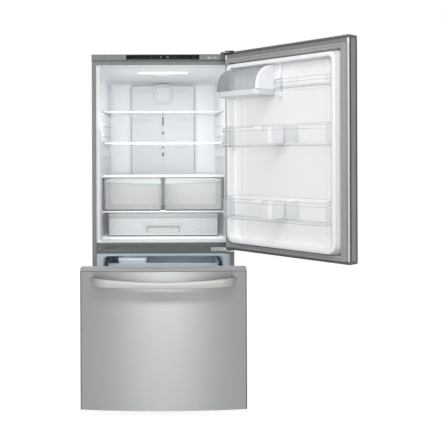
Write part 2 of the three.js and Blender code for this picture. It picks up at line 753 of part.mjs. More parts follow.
function buildEvaporator() {
  const coverY = freezerDepth - evaporatorDepth;
  const chamberBottom = freezerStepTop + seat;
  const half = freezerHalfWidth - seat;
  const fanZ = trayBottom + 34;
  const coverThickness = 3;
  const sheetShape = roundedRect(-half, half, chamberBottom - fanZ, freezerCeiling - seat - fanZ, 2);
  const sheetSolid = prism(sheetShape, 'z', 0, coverThickness, 2);
  const carrier = fanCarrier(sheetSolid, coverThickness, fanRadius + 6, 34);
  let cover = carrier.rotate(-90, 0, 0).scale([1, 1, -1]).translate(0, coverY, fanZ);
  for (let i = 0; i < 6; i += 1) {
    const x = -200 + i * 80;
    cover = cut(cover, block(x - 28, x + 28, coverY - 1, coverY + 4, chamberBottom + 12,
      chamberBottom + 24));
  }
  place(cabinet, 'evaporator_cover', cover, freezerWhite);

  const fan = fanBlades(fanBladeCount, fanHub, fanRadius, fanPin + pinClearance, fanDepth)
    .rotate(-90, 0, 0).translate(0, coverY + coverThickness + 5, fanZ);
  place(cabinet, 'evaporator_fan', fan, blackPlastic);

  const coilBottom = chamberBottom + 2;
  const coilTop = coilBottom + 88;
  const coilHalf = freezerHalfWidth - 74;
  let coil = block(-coilHalf, 3 - coilHalf, coverY + 8, freezerDepth - 3, coilBottom, coilTop);
  coil = join(coil, block(coilHalf - 3, coilHalf, coverY + 8, freezerDepth - 3, coilBottom, coilTop));
  for (const z of [coilBottom + 22, coilBottom + 66]) {
    coil = join(coil, rod('x', coverY + 33, z, 5, 1 - coilHalf, coilHalf - 1, 3));
  }
  const finCount = 9;
  for (let i = 0; i < finCount; i += 1) {
    const x = (coilHalf - 24) * ((2 * i) / (finCount - 1) - 1);
    coil = join(coil, block(x - 0.6, x + 0.6, coverY + 12, freezerDepth - 6, coilBottom + 4,
      coilTop - 4));
  }
  const footing = block(-coilHalf, coilHalf, coverY + 20, freezerDepth - 12, chamberBottom,
    coilBottom + 3);
  place(cabinet, 'evaporator', join(coil, footing), aluminium);
}

function buildMachineRoom() {
  const compressorX = -(halfCase - 188);
  const roomY = machineRoomFront + 110;
  const floor = chassisTop + seat;
  const dome = turned([[0, floor + 18], [70, floor + 18], [80, floor + 40], [80, floor + 110],
    [68, floor + 150], [40, floor + 168], [0, floor + 172]], compressorX, roomY, 20);
  let compressor = join(dome, block(compressorX - 100, compressorX + 100, roomY - 60, roomY + 60,
    floor + 14, floor + 19));
  for (const dx of [-86, 86]) {
    for (const dy of [-46, 46]) {
      compressor = join(compressor, rod('z', compressorX + dx, roomY + dy, 11, floor, floor + 15, 4));
    }
  }
  const lineTop = floor + 205;
  compressor = join(compressor, tube([
    [compressorX, roomY, floor + 165], [compressorX, roomY, floor + 190],
    [compressorX + 20, roomY, lineTop], [compressorX + 120, roomY, lineTop],
    [compressorX + 230, roomY, lineTop], [compressorX + 262, roomY, floor + 188],
    [compressorX + 262, roomY, floor + 172 + seat],
  ], 5, 16));
  place(cabinet, 'compressor', compressor, compressorBlack);

  const carrierX = 0;
  const blockX0 = 30;
  const blockX1 = 230;
  const coilTop = floor + 166;
  const fanZ = floor + 84;
  const plateShape = roundedRect(-82, 82, -70, 70, 3);
  const carrier = fanCarrier(prism(plateShape, 'z', 0, 3, 2), 3, fanRadius + 6, 34);
  let condenser = carrier.rotate(0, -90, 0).translate(carrierX, roomY, fanZ);
  for (const x of [blockX0, blockX1]) {
    condenser = join(condenser, block(x, x + 3, roomY - 64, roomY + 64, floor, coilTop));
  }
  for (const z of [fanZ - 46, fanZ + 46]) {
    for (const dy of [-34, 34]) {
      condenser = join(condenser, rod('x', roomY + dy, z, 6, blockX0, blockX1 + 2, 3));
    }
  }
  const finCount = 7;
  for (let i = 0; i < finCount; i += 1) {
    const x = blockX0 + ((blockX1 - blockX0) / (finCount + 1)) * (i + 1);
    condenser = join(condenser, block(x, x + 1.2, roomY - 58, roomY + 58, floor + 14, coilTop - 6));
  }
  const header = block(carrierX - 3, blockX0 + 60, roomY - 8, roomY + 8, coilTop - 5, floor + 172);
  const tray = openBox(carrierX - 3, blockX1 + 30, roomY - 74, roomY + 74, floor, floor + 12, 2);
  condenser = join(condenser, header, tray);
  place(cabinet, 'condenser', condenser, zincSteel);

  const fan = fanBlades(fanBladeCount, fanHub, fanRadius, fanPin + pinClearance, fanDepth)
    .rotate(0, -90, 0).translate(carrierX - 8, roomY, fanZ);
  place(cabinet, 'condenser_fan', fan, blackPlastic);

  const coverHalf = halfCase - sheet - seat;
  const inletX = halfCase - 78;
  const inletZ = machineRoomTop - 54;
  let cover = block(-coverHalf, coverHalf, caseDepth - 3, caseDepth - seat, chassisTop + seat,
    machineRoomTop - seat);
  for (let i = 0; i < 11; i += 1) {
    const x = i * 52 - halfCase + 58;
    for (const z of [80, 150]) {
      cover = cut(cover, block(x, x + 34, caseDepth - 4, caseDepth + 1, z, z + 34));
    }
  }
  const inletHole = block(inletX - 14, inletX + 14, caseDepth - 4, caseDepth + 1, inletZ - 10,
    inletZ + 10);
  place(cabinet, 'machine_cover', cut(cover, inletHole), galvanised);

  let inlet = block(inletX - 13.6, inletX + 13.6, caseDepth - 26, caseDepth + 1, inletZ - 9.6,
    inletZ + 9.6);
  inlet = join(inlet, block(inletX - 20, inletX + 20, caseDepth, caseDepth + 3, inletZ - 14,
    inletZ + 14));
  inlet = cut(inlet, block(inletX - 11, inletX + 11, caseDepth - 16, caseDepth + 4, inletZ - 7,
    inletZ + 7));
  for (const [x, z] of [[-6, -2], [6, -2], [0, 3]]) {
    inlet = join(inlet, block(inletX + x - 1, inletX + x + 1, caseDepth - 17, caseDepth - 3,
      inletZ + z - 2, inletZ + z + 2));
  }
  place(cabinet, 'power_inlet', inlet, blackPlastic);
}

// ---- freezer slides, basket and tray ----
const slideGap = 0.5;
const fixedRailThickness = 14;
const fixedRailWeb = 4.5;
const middleRailWeb = 3.5;
const railLip = 6;

function mirrorPair(make) {
  return join(make(-1), make(1));
}

function sideBlock(side, near, far, y0, y1, z0, z1) {
  return block(Math.min(side * near, side * far), Math.max(side * near, side * far), y0, y1, z0, z1);
}

function buildSlides() {
  const wallX = freezerHalfWidth - seat;
  const fixedInner = wallX - fixedRailThickness;
  const fixedPocket = wallX - fixedRailWeb;
  const railBack = railFront + railLength;
  const railTop = railBottom + railHeight;
  const tieFront = railBack + 1;
  const fixedRails = join(
    mirrorPair((side) => cut(
      sideBlock(side, fixedInner, wallX, railFront, tieFront + 9, railBottom, railTop),
      sideBlock(side, fixedInner - 1, fixedPocket, railFront - 1, railBack + seat,
        railBottom + railLip, railTop - railLip),
    )),
    block(-fixedInner - 2, fixedInner + 2, tieFront + 1, tieFront + 9, railBottom + 14, railTop - 14),
  );
  place(cabinet, 'fixed_rails', fixedRails, zincSteel);

  const middleOuter = fixedPocket - slideGap;
  const middleInner = fixedInner + slideGap;
  const middlePocket = middleOuter - middleRailWeb;
  const middleBottom = railBottom + railLip + slideGap;
  const middleTop = railTop - railLip - slideGap;
  for (const [side, name] of [[-1, 'middle_rail_left'], [1, 'middle_rail_right']]) {
    const rail = cut(
      sideBlock(side, middleInner, middleOuter, railFront, railBack, middleBottom, middleTop),
      sideBlock(side, middleInner - 1, middlePocket, railFront - 1, railBack + 1,
        middleBottom + railLip, middleTop - railLip),
    );
    place(middleRails, name, rail, zincSteel);
  }

  const armOuter = middlePocket - slideGap;
  const armInner = middleInner - 8;
  const armBottom = middleBottom + railLip + slideGap;
  const armTop = middleTop - railLip - slideGap;
  const dikeTop = frontInnerY + 25;
  const arms = mirrorPair((side) => join(
    sideBlock(side, armInner, armOuter, dikeTop + seat, railBack, armBottom, armTop),
    sideBlock(side, armInner - 4, armOuter, dikeTop + seat, dikeTop + 3, armBottom - 24, armTop + 24),
  ));
  const crossBar = block(-armInner - 1, armInner + 1, railBack - 12, railBack, armBottom, armTop);
  place(freezerDrawer, 'drawer_frame', join(arms, crossBar), zincSteel);

  const basketHalf = armInner - 6;
  const basketTop = armTop + 4;
  const basketBack = basketFront + basketDepth;
  const basket = openBox(-basketHalf, basketHalf, basketFront, basketBack, basketBottom, basketTop, 3);
  const rim = mirrorPair((side) => sideBlock(side, basketHalf - 1, armOuter - 6, basketFront + 20,
    basketBack - 20, armTop + seat, basketTop));
  place(freezerDrawer, 'freezer_basket', join(basket, rim), freezerWhite);

  const trayHalf = freezerHalfWidth - trayInset;
  const trayBack = freezerDepth - evaporatorDepth - trayBackGap;
  const tray = openBox(-trayHalf, trayHalf, trayFront, trayBack, trayBottom, trayTop, 3);
  const iceBinX = iceBinInset - trayHalf;
  const iceBin = openBox(iceBinX, iceBinX + iceBinWidth, trayFront + 20, trayFront + 20 + iceBinDepth,
    trayBottom + 1, trayTop + iceBinRise, 3);
  place(cabinet, 'freezer_tray', join(tray, iceBin), iceGrey);
}

// ---- door and drawer fronts ----
// Plan outline of a front: flat back, straight sides, small corners and an even outward bulge.
function frontOutline(inset, backY) {
  const half = halfCase - inset;
  const edge = frontEdgeY + inset;
  const corner = frontCorner;
  const outline = new THREE.Shape();
  outline.moveTo(half, backY);
  outline.lineTo(-half, backY);
  outline.lineTo(-half, edge + corner);
  outline.quadraticCurveTo(-half, edge, -half + corner, edge);
  outline.quadraticCurveTo(0, edge - 2 * frontBulge, half - corner, edge);
  outline.quadraticCurveTo(half, edge, half, edge + corner);
  return outline;
}

function frontBody(inset, backY, bottom, top) {
  return prism(frontOutline(inset, backY), 'z', bottom, top, 8);
}

function frontSurfaceY(x) {
  const share = x / (halfCase - frontCorner);
  return frontEdgeY - frontBulge * (1 - share * share);
}

function gasketRing(bottom, top) {
  const half = halfCase - gasketMargin;
  const innerHalf = half - gasketWidth;
  return frameRing(roundedRect(-half, half, bottom, top, 6),
    roundedRect(-innerHalf, innerHalf, bottom + gasketWidth, top - gasketWidth, 4), 'y',
    frontInnerY + seat, -gasketSqueeze);
}

// A thin inner panel with a raised rim that stands inside the gasket.
function frontLiner(bottom, top, rimHalf, rimBottom, rimTop, rimWidth, rimHeight) {
  const half = halfCase - sheet - seat;
  const panel = block(-half, half, frontInnerY - 2, frontInnerY, bottom, top);
  const rimY = frontInnerY + rimHeight;
  const outer = taperedBlock(
    { y: frontInnerY - 1, x0: -rimHalf, x1: rimHalf, z0: rimBottom, z1: rimTop },
    { y: rimY, x0: -rimHalf + rimLean, x1: rimHalf - rimLean, z0: rimBottom + rimLean,
      z1: rimTop - rimLean });
  const margin = rimLean + rimWidth;
  const inner = block(-rimHalf + margin, rimHalf - margin, frontInnerY, rimY + 1, rimBottom + margin,
    rimTop - margin);
  return join(panel, cut(outer, inner));
}

// ---- door ----
const doorRimHalf = halfCase - 42;
const doorRimWidth = 20;
const doorRimHeight = 45;
const doorRimBottom = mullionTop + 10;
const doorRimTop = freshCeiling - 5;
const bayHalf = doorRimHalf - rimLean - doorRimWidth;
const ridgeFromHinge = 379;
const doorRidgeX = halfCase - ridgeFromHinge;
const ridgeHalf = 4.5;
const ridgeBottom = doorRimTop - 187;
const ridgeHeight = 24;
const lowerRibZ = doorBottom + 96.5;
const lowerRibHalf = 2;
const lugReach = 8;
const lugDepth = 34;

function buildDoorPanel() {
  const skinBottom = doorBottom + capHeight + seat;
  const skinTop = doorTop - capHeight - seat;
  const skin = cut(frontBody(0, frontInnerY, skinBottom, skinTop),
    frontBody(sheet, frontInnerY + 1, skinBottom - 1, skinTop + 1));
  place(door, 'door_skin', skin, stainless);
  const foam = frontBody(sheet + seat, frontInnerY - 2 - seat, skinBottom, skinTop);
  place(door, 'door_foam', foam, foamYellow);

  const bore = rod('z', pinX, pinY, pinRadius + pinClearance, doorBottom - 1, doorTop + 1);
  const hingeRecess = block(pinX - 62, halfCase + 1, frontEdgeY - 60, frontInnerY + 1, doorTop - 8,
    doorTop + 1);
  const endRecess = block(-halfCase + 16, -halfCase + 52, frontEdgeY + 12, frontInnerY - 14,
    doorTop - 6, doorTop + 1);
  const topCap = frontBody(0, frontInnerY, doorTop - capHeight, doorTop);
  place(door, 'door_top_cap', cut(topCap, bore, hingeRecess, endRecess), darkGrey);
  const bottomCap = frontBody(0, frontInnerY, doorBottom, doorBottom + capHeight);
  place(door, 'door_bottom_cap', cut(bottomCap, bore), darkGrey);

  let liner = frontLiner(skinBottom, skinTop, doorRimHalf, doorRimBottom, doorRimTop, doorRimWidth,
    doorRimHeight);
  const ridge = block(doorRidgeX - ridgeHalf, doorRidgeX + ridgeHalf, frontInnerY - 1,
    frontInnerY + ridgeHeight, ridgeBottom, doorRimTop - 10);
  const lowerRib = block(-bayHalf - 1, bayHalf + 1, frontInnerY - 1, frontInnerY + 4,
    lowerRibZ - lowerRibHalf, lowerRibZ + lowerRibHalf);
  liner = join(liner, ridge, lowerRib);
  for (const bin of doorBins) {
    for (const [x0, x1] of [[bin.x0 - 1, bin.x0 + lugReach], [bin.x1 - lugReach, bin.x1 + 1]]) {
      liner = join(liner, block(x0, x1, frontInnerY - 1, frontInnerY + lugDepth, bin.bottom - lugReach,
        bin.bottom - seat));
    }
  }
  place(door, 'door_liner', liner, linerWhite);

  const gasketTop = freshMouthTop + topFlangeHeight - 1;
  place(door, 'door_gasket', gasketRing(doorBottom + gasketMargin, gasketTop), gasketGrey);
}

// A bar that bows away from a front, drawn in the plane of its length and its stand-off.
function bowedBar(length, footDepth, middleDepth, thickness) {
  const half = length / 2;
  const bow = middleDepth - footDepth;
  const band = new THREE.Shape();
  band.moveTo(-half, -footDepth + thickness);
  band.lineTo(-half, -footDepth);
  band.quadraticCurveTo(0, -footDepth - 2 * bow, half, -footDepth);
  band.lineTo(half, -footDepth + thickness);
  band.quadraticCurveTo(0, -footDepth - 2 * bow + thickness, -half, -footDepth + thickness);
  return band;
}

const handleThickness = 15;
const handleFootDepth = 46;
const handleMiddleDepth = 62;
const handlePost = 26;

// The face of a handle: full height at its ends, slimmer in the middle, which hangs lower by the sag.
function handleFace(length, endHeight, middleHeight, sag) {
  const half = length / 2;
  const dip = endHeight - middleHeight;
  const face = new THREE.Shape();
  face.moveTo(-half, endHeight / 2);
  face.lineTo(-half + 14, -endHeight / 2);
  face.quadraticCurveTo(0, -endHeight / 2 + dip - 2 * sag, half - 14, -endHeight / 2);
  face.lineTo(half, endHeight / 2);
  face.quadraticCurveTo(0, endHeight / 2 - dip - 2 * sag, -half, endHeight / 2);
  return face;
}

// Built along x with its base plane at y = 0 and its face towards -y.
function bowedHandle(length, endHeight, middleHeight, sag, baseDrop) {
  const bar = prism(bowedBar(length, handleFootDepth, handleMiddleDepth, handleThickness), 'z',
    -endHeight, endHeight, 8);
  const face = prism(handleFace(length, endHeight, middleHeight, sag), 'y', -200, 200, 8);
  const postOuter = length / 2 - 6;
  const posts = mirrorPair((side) => sideBlock(side, postOuter - handlePost, postOuter,
    -handleFootDepth + 4, baseDrop, -endHeight, endHeight));
  return join(bar, posts).intersect(face);
}

function buildDoorHandle() {
  const handleX = -(halfCase - 68);
  const handleLength = 640;
  const surface = frontSurfaceY(handleX);
  const handle = bowedHandle(handleLength, 40, 28, 0, 20)
    .rotate(0, 90, 0)
    .translate(handleX, surface, doorBottom + 70 + handleLength / 2);
  const clear = frontBody(-seat, frontInnerY, doorBottom, doorTop);
  place(door, 'door_handle', cut(handle, clear), satinHandle);
}

const dairyDepth = 134;
const dairyTubTop = doorRimTop - 149;
const dairyRoof = doorRimTop - 24;
const dairyFromRidge = 40;
const housingWidth = 14;
const binWall = 2.5;
const binFloorDrop = 13;
const binDepth = 112;
const binCorner = 42;
const lowerBinRise = 175.5;
const lowerBinHeight = 113;
const middleBinHeight = 107;
const middleBinDrop = 11.5;
const smallBinHeight = 59;
const smallBinDrop = 158;
const smallBinDepth = 94;
const smallBinCorner = 36;
const lowerDivider = 481;
const middleDivider = 477;
const lowerBinBottom = doorBottom + lowerBinRise;
const lowerBinTop = lowerBinBottom + lowerBinHeight;
const smallBinBottom = doorRimTop - smallBinDrop;
const middleBinBottom = (lowerBinTop + smallBinBottom) / 2 - middleBinDrop;
const bayX = bayHalf - seat;
const doorBins = [
  { name: 'lower_bin', x0: -bayX, x1: bayX, bottom: lowerBinBottom, top: lowerBinTop,
    depth: binDepth, corner: binCorner, divider: halfCase - lowerDivider },
  { name: 'middle_bin', x0: -bayX, x1: bayX, bottom: middleBinBottom,
    top: middleBinBottom + middleBinHeight, depth: binDepth, corner: binCorner,
    divider: halfCase - middleDivider },
  { name: 'small_bin', x0: -bayX, x1: doorRidgeX - ridgeHalf - seat, bottom: smallBinBottom,
    top: smallBinBottom + smallBinHeight, depth: smallBinDepth, corner: smallBinCorner,
    divider: null },
];

function binOutline(bin, inset) {
  const x0 = bin.x0 + inset;
  const x1 = bin.x1 - inset;
  const y0 = frontInnerY + seat + inset;
  const y1 = frontInnerY + bin.depth - inset;
  const radius = bin.corner - inset;
  const outline = new THREE.Shape();
  outline.moveTo(x0, y0);
  outline.lineTo(x1, y0);
  outline.lineTo(x1, y1 - radius);
  outline.quadraticCurveTo(x1, y1, x1 - radius, y1);
  outline.lineTo(x0 + radius, y1);
  outline.quadraticCurveTo(x0, y1, x0, y1 - radius);
  return outline;
}

function buildDoorBins() {
  for (const bin of doorBins) {
    const floor = bin.bottom + binFloorDrop;
    const outside = prism(binOutline(bin, 0), 'z', bin.bottom, bin.top, 4);
    const inside = prism(binOutline(bin, binWall), 'z', floor, bin.top + 1, 4);
    const below = prism(binOutline(bin, binWall), 'z', bin.bottom - 1, floor - binWall, 4);
    const frontLine = frontInnerY + bin.depth;
    const lowFront = block(bin.x0 - 1, bin.x1 + 1, frontLine - bin.corner, frontLine + 1,
      bin.top - 12, bin.top + 1);
    let body = cut(outside, inside, below, lowFront);
    if (bin.divider !== null) {
      body = join(body, block(bin.divider - 1, bin.divider + 1, frontInnerY + 2,
        frontLine - 1, floor - 1, bin.top - 14));
    }
    place(door, bin.name, body, clearPlastic);
  }
}

// A white guide that hooks over a bin's front wall and slides along it.
function buildBottleGuides() {
  const guideFromHinge = 395;
  const guideSpan = 60;
  const guideDepth = 92;
  const guideWall = 2;
  for (const bin of doorBins.slice(0, 2)) {
    const name = bin.name.replace('bin', 'bottle_guide');
    const wallTop = bin.top - 12;
    const outerFace = frontInnerY + bin.depth;
    const innerFace = outerFace - binWall;
    const floor = bin.bottom + binFloorDrop + 0.5;
    const x0 = halfCase - guideFromHinge;
    const x1 = x0 + guideSpan;
    const hook = block(x1 - 10, x1 + 44, innerFace - seat - guideWall, outerFace + seat + guideWall,
      wallTop - 16, wallTop + seat + guideWall);
    const grip = block(x0 - 100, x1 + 100, innerFace - seat, outerFace + seat, 0, wallTop + seat);
    const bow = new THREE.Shape();
    const face = innerFace - seat;
    bow.moveTo(x1 + 4, face);
    bow.lineTo(x0 + 20, face);
    bow.quadraticCurveTo(x0, face, x0, face - 20);
    bow.lineTo(x0, face - guideDepth);
    bow.lineTo(x0 + guideWall, face - guideDepth);
    bow.lineTo(x0 + guideWall, face - 20);
    bow.quadraticCurveTo(x0 + guideWall, face - guideWall, x0 + 20, face - guideWall);
    bow.lineTo(x1 + 4, face - guideWall);
    const plate = prism(bow, 'z', floor, wallTop, 4);
    place(door, name, join(cut(hook, grip), plate), guideWhite);
  }
}

// Side profile of the dairy compartment in (y, z): upright front that rolls over into the roof.
function dairyProfile(inset, backGap, bottom) {
  const back = frontInnerY + backGap;
  const front = frontInnerY + dairyDepth - inset;
  const profile = new THREE.Shape();
  profile.moveTo(back, bottom);
  profile.lineTo(front, bottom);
  profile.lineTo(front, dairyTubTop);
  profile.quadraticCurveTo(front, dairyRoof - 12 - inset, back, dairyRoof - inset);
  return profile;
}

function buildDairyBox() {
  const x1 = bayHalf - seat;
  const x0 = doorRidgeX + ridgeHalf + dairyFromRidge;
  const tubBottom = dairyTubTop - 30;
  const wall = 2.5;
  const cheekX = x1 - wall;
  const housingX = x0 + housingWidth;
  const roofEdge = frontInnerY + 50;
  const hingeY = roofEdge + 5;
  const hingeZ = dairyRoof - 14;
  const lidPin = 2;
  const tubShape = { x0, x1, depth: dairyDepth, corner: 30 };
  const tub = cut(prism(binOutline(tubShape, 0), 'z', tubBottom, dairyTubTop, 4),
    prism(binOutline(tubShape, wall), 'z', tubBottom + wall, dairyTubTop + 1, 4));
  const shell = prism(dairyProfile(0, seat, dairyTubTop), 'x', x0, x1, 6);
  const room = prism(dairyProfile(wall, wall, dairyTubTop - 1), 'x', x0 + wall, x1 - wall, 6);
  const lidSpace = block(housingX, cheekX, roofEdge, 300, dairyTubTop - 20, dairyRoof + 50);
  const partition = prism(dairyProfile(0, 50, dairyTubTop), 'x', housingX - wall, housingX, 6)
    .intersect(shell);
  const seam = dairyTubTop - 1;
  const sideBands = [x0, cheekX].map((x) => {
    return block(x, x + wall, frontInnerY + 1, frontInnerY + 90, seam, seam + 2);
  });
  const backBand = block(x0, x1, frontInnerY + seat, frontInnerY + wall, seam, seam + 2);
  const pinHoles = rod('x', hingeY, hingeZ, lidPin + pinClearance, housingX - wall - 1, x1 + 1, 4);
  const dairy = join(tub, cut(shell, room, lidSpace), partition, backBand, ...sideBands);
  place(door, 'dairy_box', cut(dairy, pinHoles), guideWhite);

  const lidX0 = housingX + seat;
  const lidX1 = cheekX - seat;
  const lidBottom = dairyTubTop + 0.5;
  const lidWall = 2;
  const span = block(lidX0, lidX1, roofEdge + 1.4, 300, lidBottom, dairyRoof + 50);
  const lidRoom = prism(dairyProfile(lidWall, 40, lidBottom - 1), 'x', lidX0 + lidWall,
    lidX1 - lidWall, 6);
  const pinReach = seat + wall - 0.5;
  const lid = join(cut(shell.intersect(span), lidRoom),
    rod('x', hingeY, hingeZ, lidPin, lidX0 - pinReach, lidX0 + 1, 4),
    rod('x', hingeY, hingeZ, lidPin, lidX1 - 1, lidX1 + pinReach, 4));
  place(door, 'dairy_lid', lid, smokyPlastic);
}

// ---- freezer drawer front ----
function buildDrawerFront() {
  const skinTop = drawerFrontTop - capHeight - seat;
  const innerBottom = drawerFrontBottom + sheet + seat;
  const skin = cut(frontBody(0, frontInnerY, drawerFrontBottom, skinTop),
    frontBody(sheet, frontInnerY + 1, drawerFrontBottom + sheet, skinTop + 1));
  place(freezerDrawer, 'drawer_skin', skin, stainless);
  place(freezerDrawer, 'drawer_foam',
    frontBody(sheet + seat, frontInnerY - 2 - seat, innerBottom, skinTop), foamYellow);
  const topCap = frontBody(0, frontInnerY, drawerFrontTop - capHeight, drawerFrontTop);
  place(freezerDrawer, 'drawer_top_cap', topCap, capGrey);
  const liner = frontLiner(innerBottom, skinTop, freezerHalfWidth - 5, freezerFloor + 14,
    freezerCeiling - 12, 22, 25);
  place(freezerDrawer, 'drawer_liner', liner, linerWhite);
  const gasket = gasketRing(drawerFrontBottom + 3, mullionBottom + 8);
  place(freezerDrawer, 'drawer_gasket', gasket, gasketGrey);

  const handleLength = caseWidth - 96;
  const handleZ = drawerFrontTop - 56;
  const surface = frontSurfaceY(handleLength / 2);
  const handle = bowedHandle(handleLength, 44, 31, 12, 20).translate(0, surface, handleZ);
  const clear = frontBody(-seat, frontInnerY, drawerFrontBottom, drawerFrontTop);
  place(freezerDrawer, 'drawer_handle', cut(handle, clear), satinHandle);
}

buildOuterCase();
buildBackPanel();
buildChassis();
buildFoam();
buildFreshFoodLiner();
buildFreezerLiner();
buildMullionCover();
buildControlHousing();
buildHinges();
buildBase();
buildShelves();
buildFreshDrawers();
buildFreshDetails();
buildEvaporator();
buildMachineRoom();
buildSlides();
buildDoorPanel();
buildDoorHandle();
buildDoorBins();
buildBottleGuides();
buildDairyBox();
buildDrawerFront();

export default refrigerator;
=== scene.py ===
# Bottom freezer refrigerator: the look of each piece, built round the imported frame, in metres.
# Pieces are drawn closed, in millimetres: x = 0 is the middle, y = 0 the case front, z = 0 the floor.
import math
import bmesh
import bpy
from mathutils import Matrix, Vector


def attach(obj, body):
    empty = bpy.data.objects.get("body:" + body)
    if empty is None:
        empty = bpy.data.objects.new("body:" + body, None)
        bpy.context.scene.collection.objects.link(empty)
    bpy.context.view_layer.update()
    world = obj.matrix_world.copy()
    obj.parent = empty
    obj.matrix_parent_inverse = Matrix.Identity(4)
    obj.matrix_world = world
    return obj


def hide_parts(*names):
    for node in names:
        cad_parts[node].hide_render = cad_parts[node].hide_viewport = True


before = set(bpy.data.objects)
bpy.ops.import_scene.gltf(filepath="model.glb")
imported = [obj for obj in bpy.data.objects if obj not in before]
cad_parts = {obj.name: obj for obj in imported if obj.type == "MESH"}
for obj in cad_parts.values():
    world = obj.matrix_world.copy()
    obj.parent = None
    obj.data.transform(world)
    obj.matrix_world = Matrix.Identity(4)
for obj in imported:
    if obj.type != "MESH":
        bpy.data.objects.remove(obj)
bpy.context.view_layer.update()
mm = 0.001
scene = bpy.context.scene

# Where the closed drawing goes: the door swings on its pin, the drawer is pulled out.
rest = {"origin": (0.330, -0.040, 0), "pin": (0.361, -0.048, 0), "doorAngle": 131.5, "drawerOut": 0.475}
atCabinet = Matrix.Translation(rest["origin"])
toPin = Matrix.Translation(rest["pin"])
atDoor = atCabinet @ toPin @ Matrix.Rotation(math.radians(rest["doorAngle"]), 4, "Z") @ toPin.inverted()
places = {"door": atDoor, "dairy_lid": atDoor, "lower_bottle_guide": atDoor, "middle_bottle_guide": atDoor,
          "freezer_drawer": atCabinet @ Matrix.Translation((0, -rest["drawerOut"], 0))}


# Sets node inputs; a value may be a number, a colour or another node's socket.
def plug(tree, item, inputs):
    for key, value in inputs.items():
        if isinstance(value, bpy.types.NodeSocket):
            tree.links.new(value, item.inputs[key])
        else:
            item.inputs[key].default_value = value


def put(tree, kind, inputs=None, **settings):
    item = tree.nodes.new(kind)
    for key, value in settings.items():
        setattr(item, key, value)
    plug(tree, item, inputs or {})
    return item


def mathNode(tree, operation, first, second=0.0):
    return put(tree, "ShaderNodeMath", {0: first, 1: second}, operation=operation).outputs[0]


view = {"place": (0.330, -3.8188, 1.1922), "roll": 0.0035, "lens": 57.77, "shift": (0.132, -0.143)}
camera = bpy.data.objects.new("photoCamera", bpy.data.cameras.new("photoCamera"))
camera.data.lens = view["lens"]
camera.data.shift_x, camera.data.shift_y = view["shift"]
camera.data.clip_start = 0.05
camera.location = view["place"]
camera.rotation_euler = (math.radians(90), view["roll"], 0)
scene.collection.objects.link(camera)
scene.camera = camera
scene.view_settings.view_transform = "Standard"

# Place, aim, size, power and use of each lamp. Mirror lamps are only seen in reflections, and the
# one for the fronts only falls on the brushed panels, which join this group when they are made.
steelFronts = bpy.data.collections.new("steelFronts")
lights = {
    "frontLight": ((0.1, -5.6, 1.9), (0.35, 0, 1.0), (3.4, 2.6), 96, "plain"),
    "keyLight": ((-2.3, -3.0, 2.6), (0.4, 0, 1.0), (1.6, 2.0), 46, "plain"),
    "fillLight": ((2.9, -3.4, 1.8), (0.4, 0, 0.9), (1.8, 2.4), 13, "plain"),
    "topLight": ((0.33, -2.3, 3.1), (0.33, -0.6, 0.5), (1.5, 0.8), 24, "plain"),
    "steelTop": ((0.33, -1.75, 2.4), (0.33, -0.6, 0.5), (0.32, 0.32), 40, "fronts"),
    "middleStrip": ((0.42, -4.3, 1.1), (0.36, -0.6, 0.5), (0.5, 2.0), 3, "mirror"),
    "leftStrip": ((-0.26, -4.3, 1.1), (0.3, -0.6, 0.6), (0.2, 2.0), 7, "mirror"),
    "rightStrip": ((0.92, -4.3, 1.1), (0.3, -0.6, 0.6), (0.2, 2.0), 7, "mirror"),
    "backLight": ((0.6, 3.2, 2.4), (0.35, 0.3, 0.9), (2.6, 2.4), 44, "plain"),
    "roomLamp": ((0.330, 0.155, 1.640), (0.330, 0.22, 0.9), (0.30, 0.05), 0.35, "plain"),
    "roomFill": ((0.330, -0.09, 1.20), (0.330, 1.0, 1.12), (0.46, 0.70), 0.74, "plain"),
    "ceilingFill": ((0.330, 0.0, 1.30), (0.330, 0.28, 1.66), (0.60, 0.16), 0.7, "plain"),
    "freezerFill": ((0.330, -0.02, 0.648), (0.330, 1.0, 0.45), (0.56, 0.02), 0.26, "plain"),
    "freezerBack": ((0.330, 0.12, 0.652), (0.330, 0.46, 0.57), (0.50, 0.02), 0.42, "plain"),
}
for name, (place, aim, size, power, use) in lights.items():
    lamp = bpy.data.objects.new(name, bpy.data.lights.new(name, "AREA"))
    lamp.data.shape = "RECTANGLE"
    lamp.data.size, lamp.data.size_y = size
    lamp.data.energy = power
    lamp.location = place
    lamp.rotation_euler = (Vector(aim) - Vector(place)).to_track_quat("-Z", "Y").to_euler()
    lamp.visible_glossy = use != "plain"
    lamp.visible_diffuse = use == "plain"
    lamp.visible_camera = False
    if use == "fronts":
        lamp.light_linking.receiver_collection = steelFronts
    scene.collection.objects.link(lamp)


# 1 for rays that see the studio directly, in metal or through glass.
def seenRay(tree):
    path = put(tree, "ShaderNodeLightPath").outputs
    first = mathNode(tree, "MAXIMUM", path["Is Camera Ray"], path["Is Glossy Ray"])
    return mathNode(tree, "MAXIMUM", first, path["Is Transmission Ray"])


studio = {"skyStrength": 0.27, "seenStrength": 1.0, "floorGlow": 0.88, "floorColor": (0.42, 0.42, 0.42, 1),
    "reach": 14}


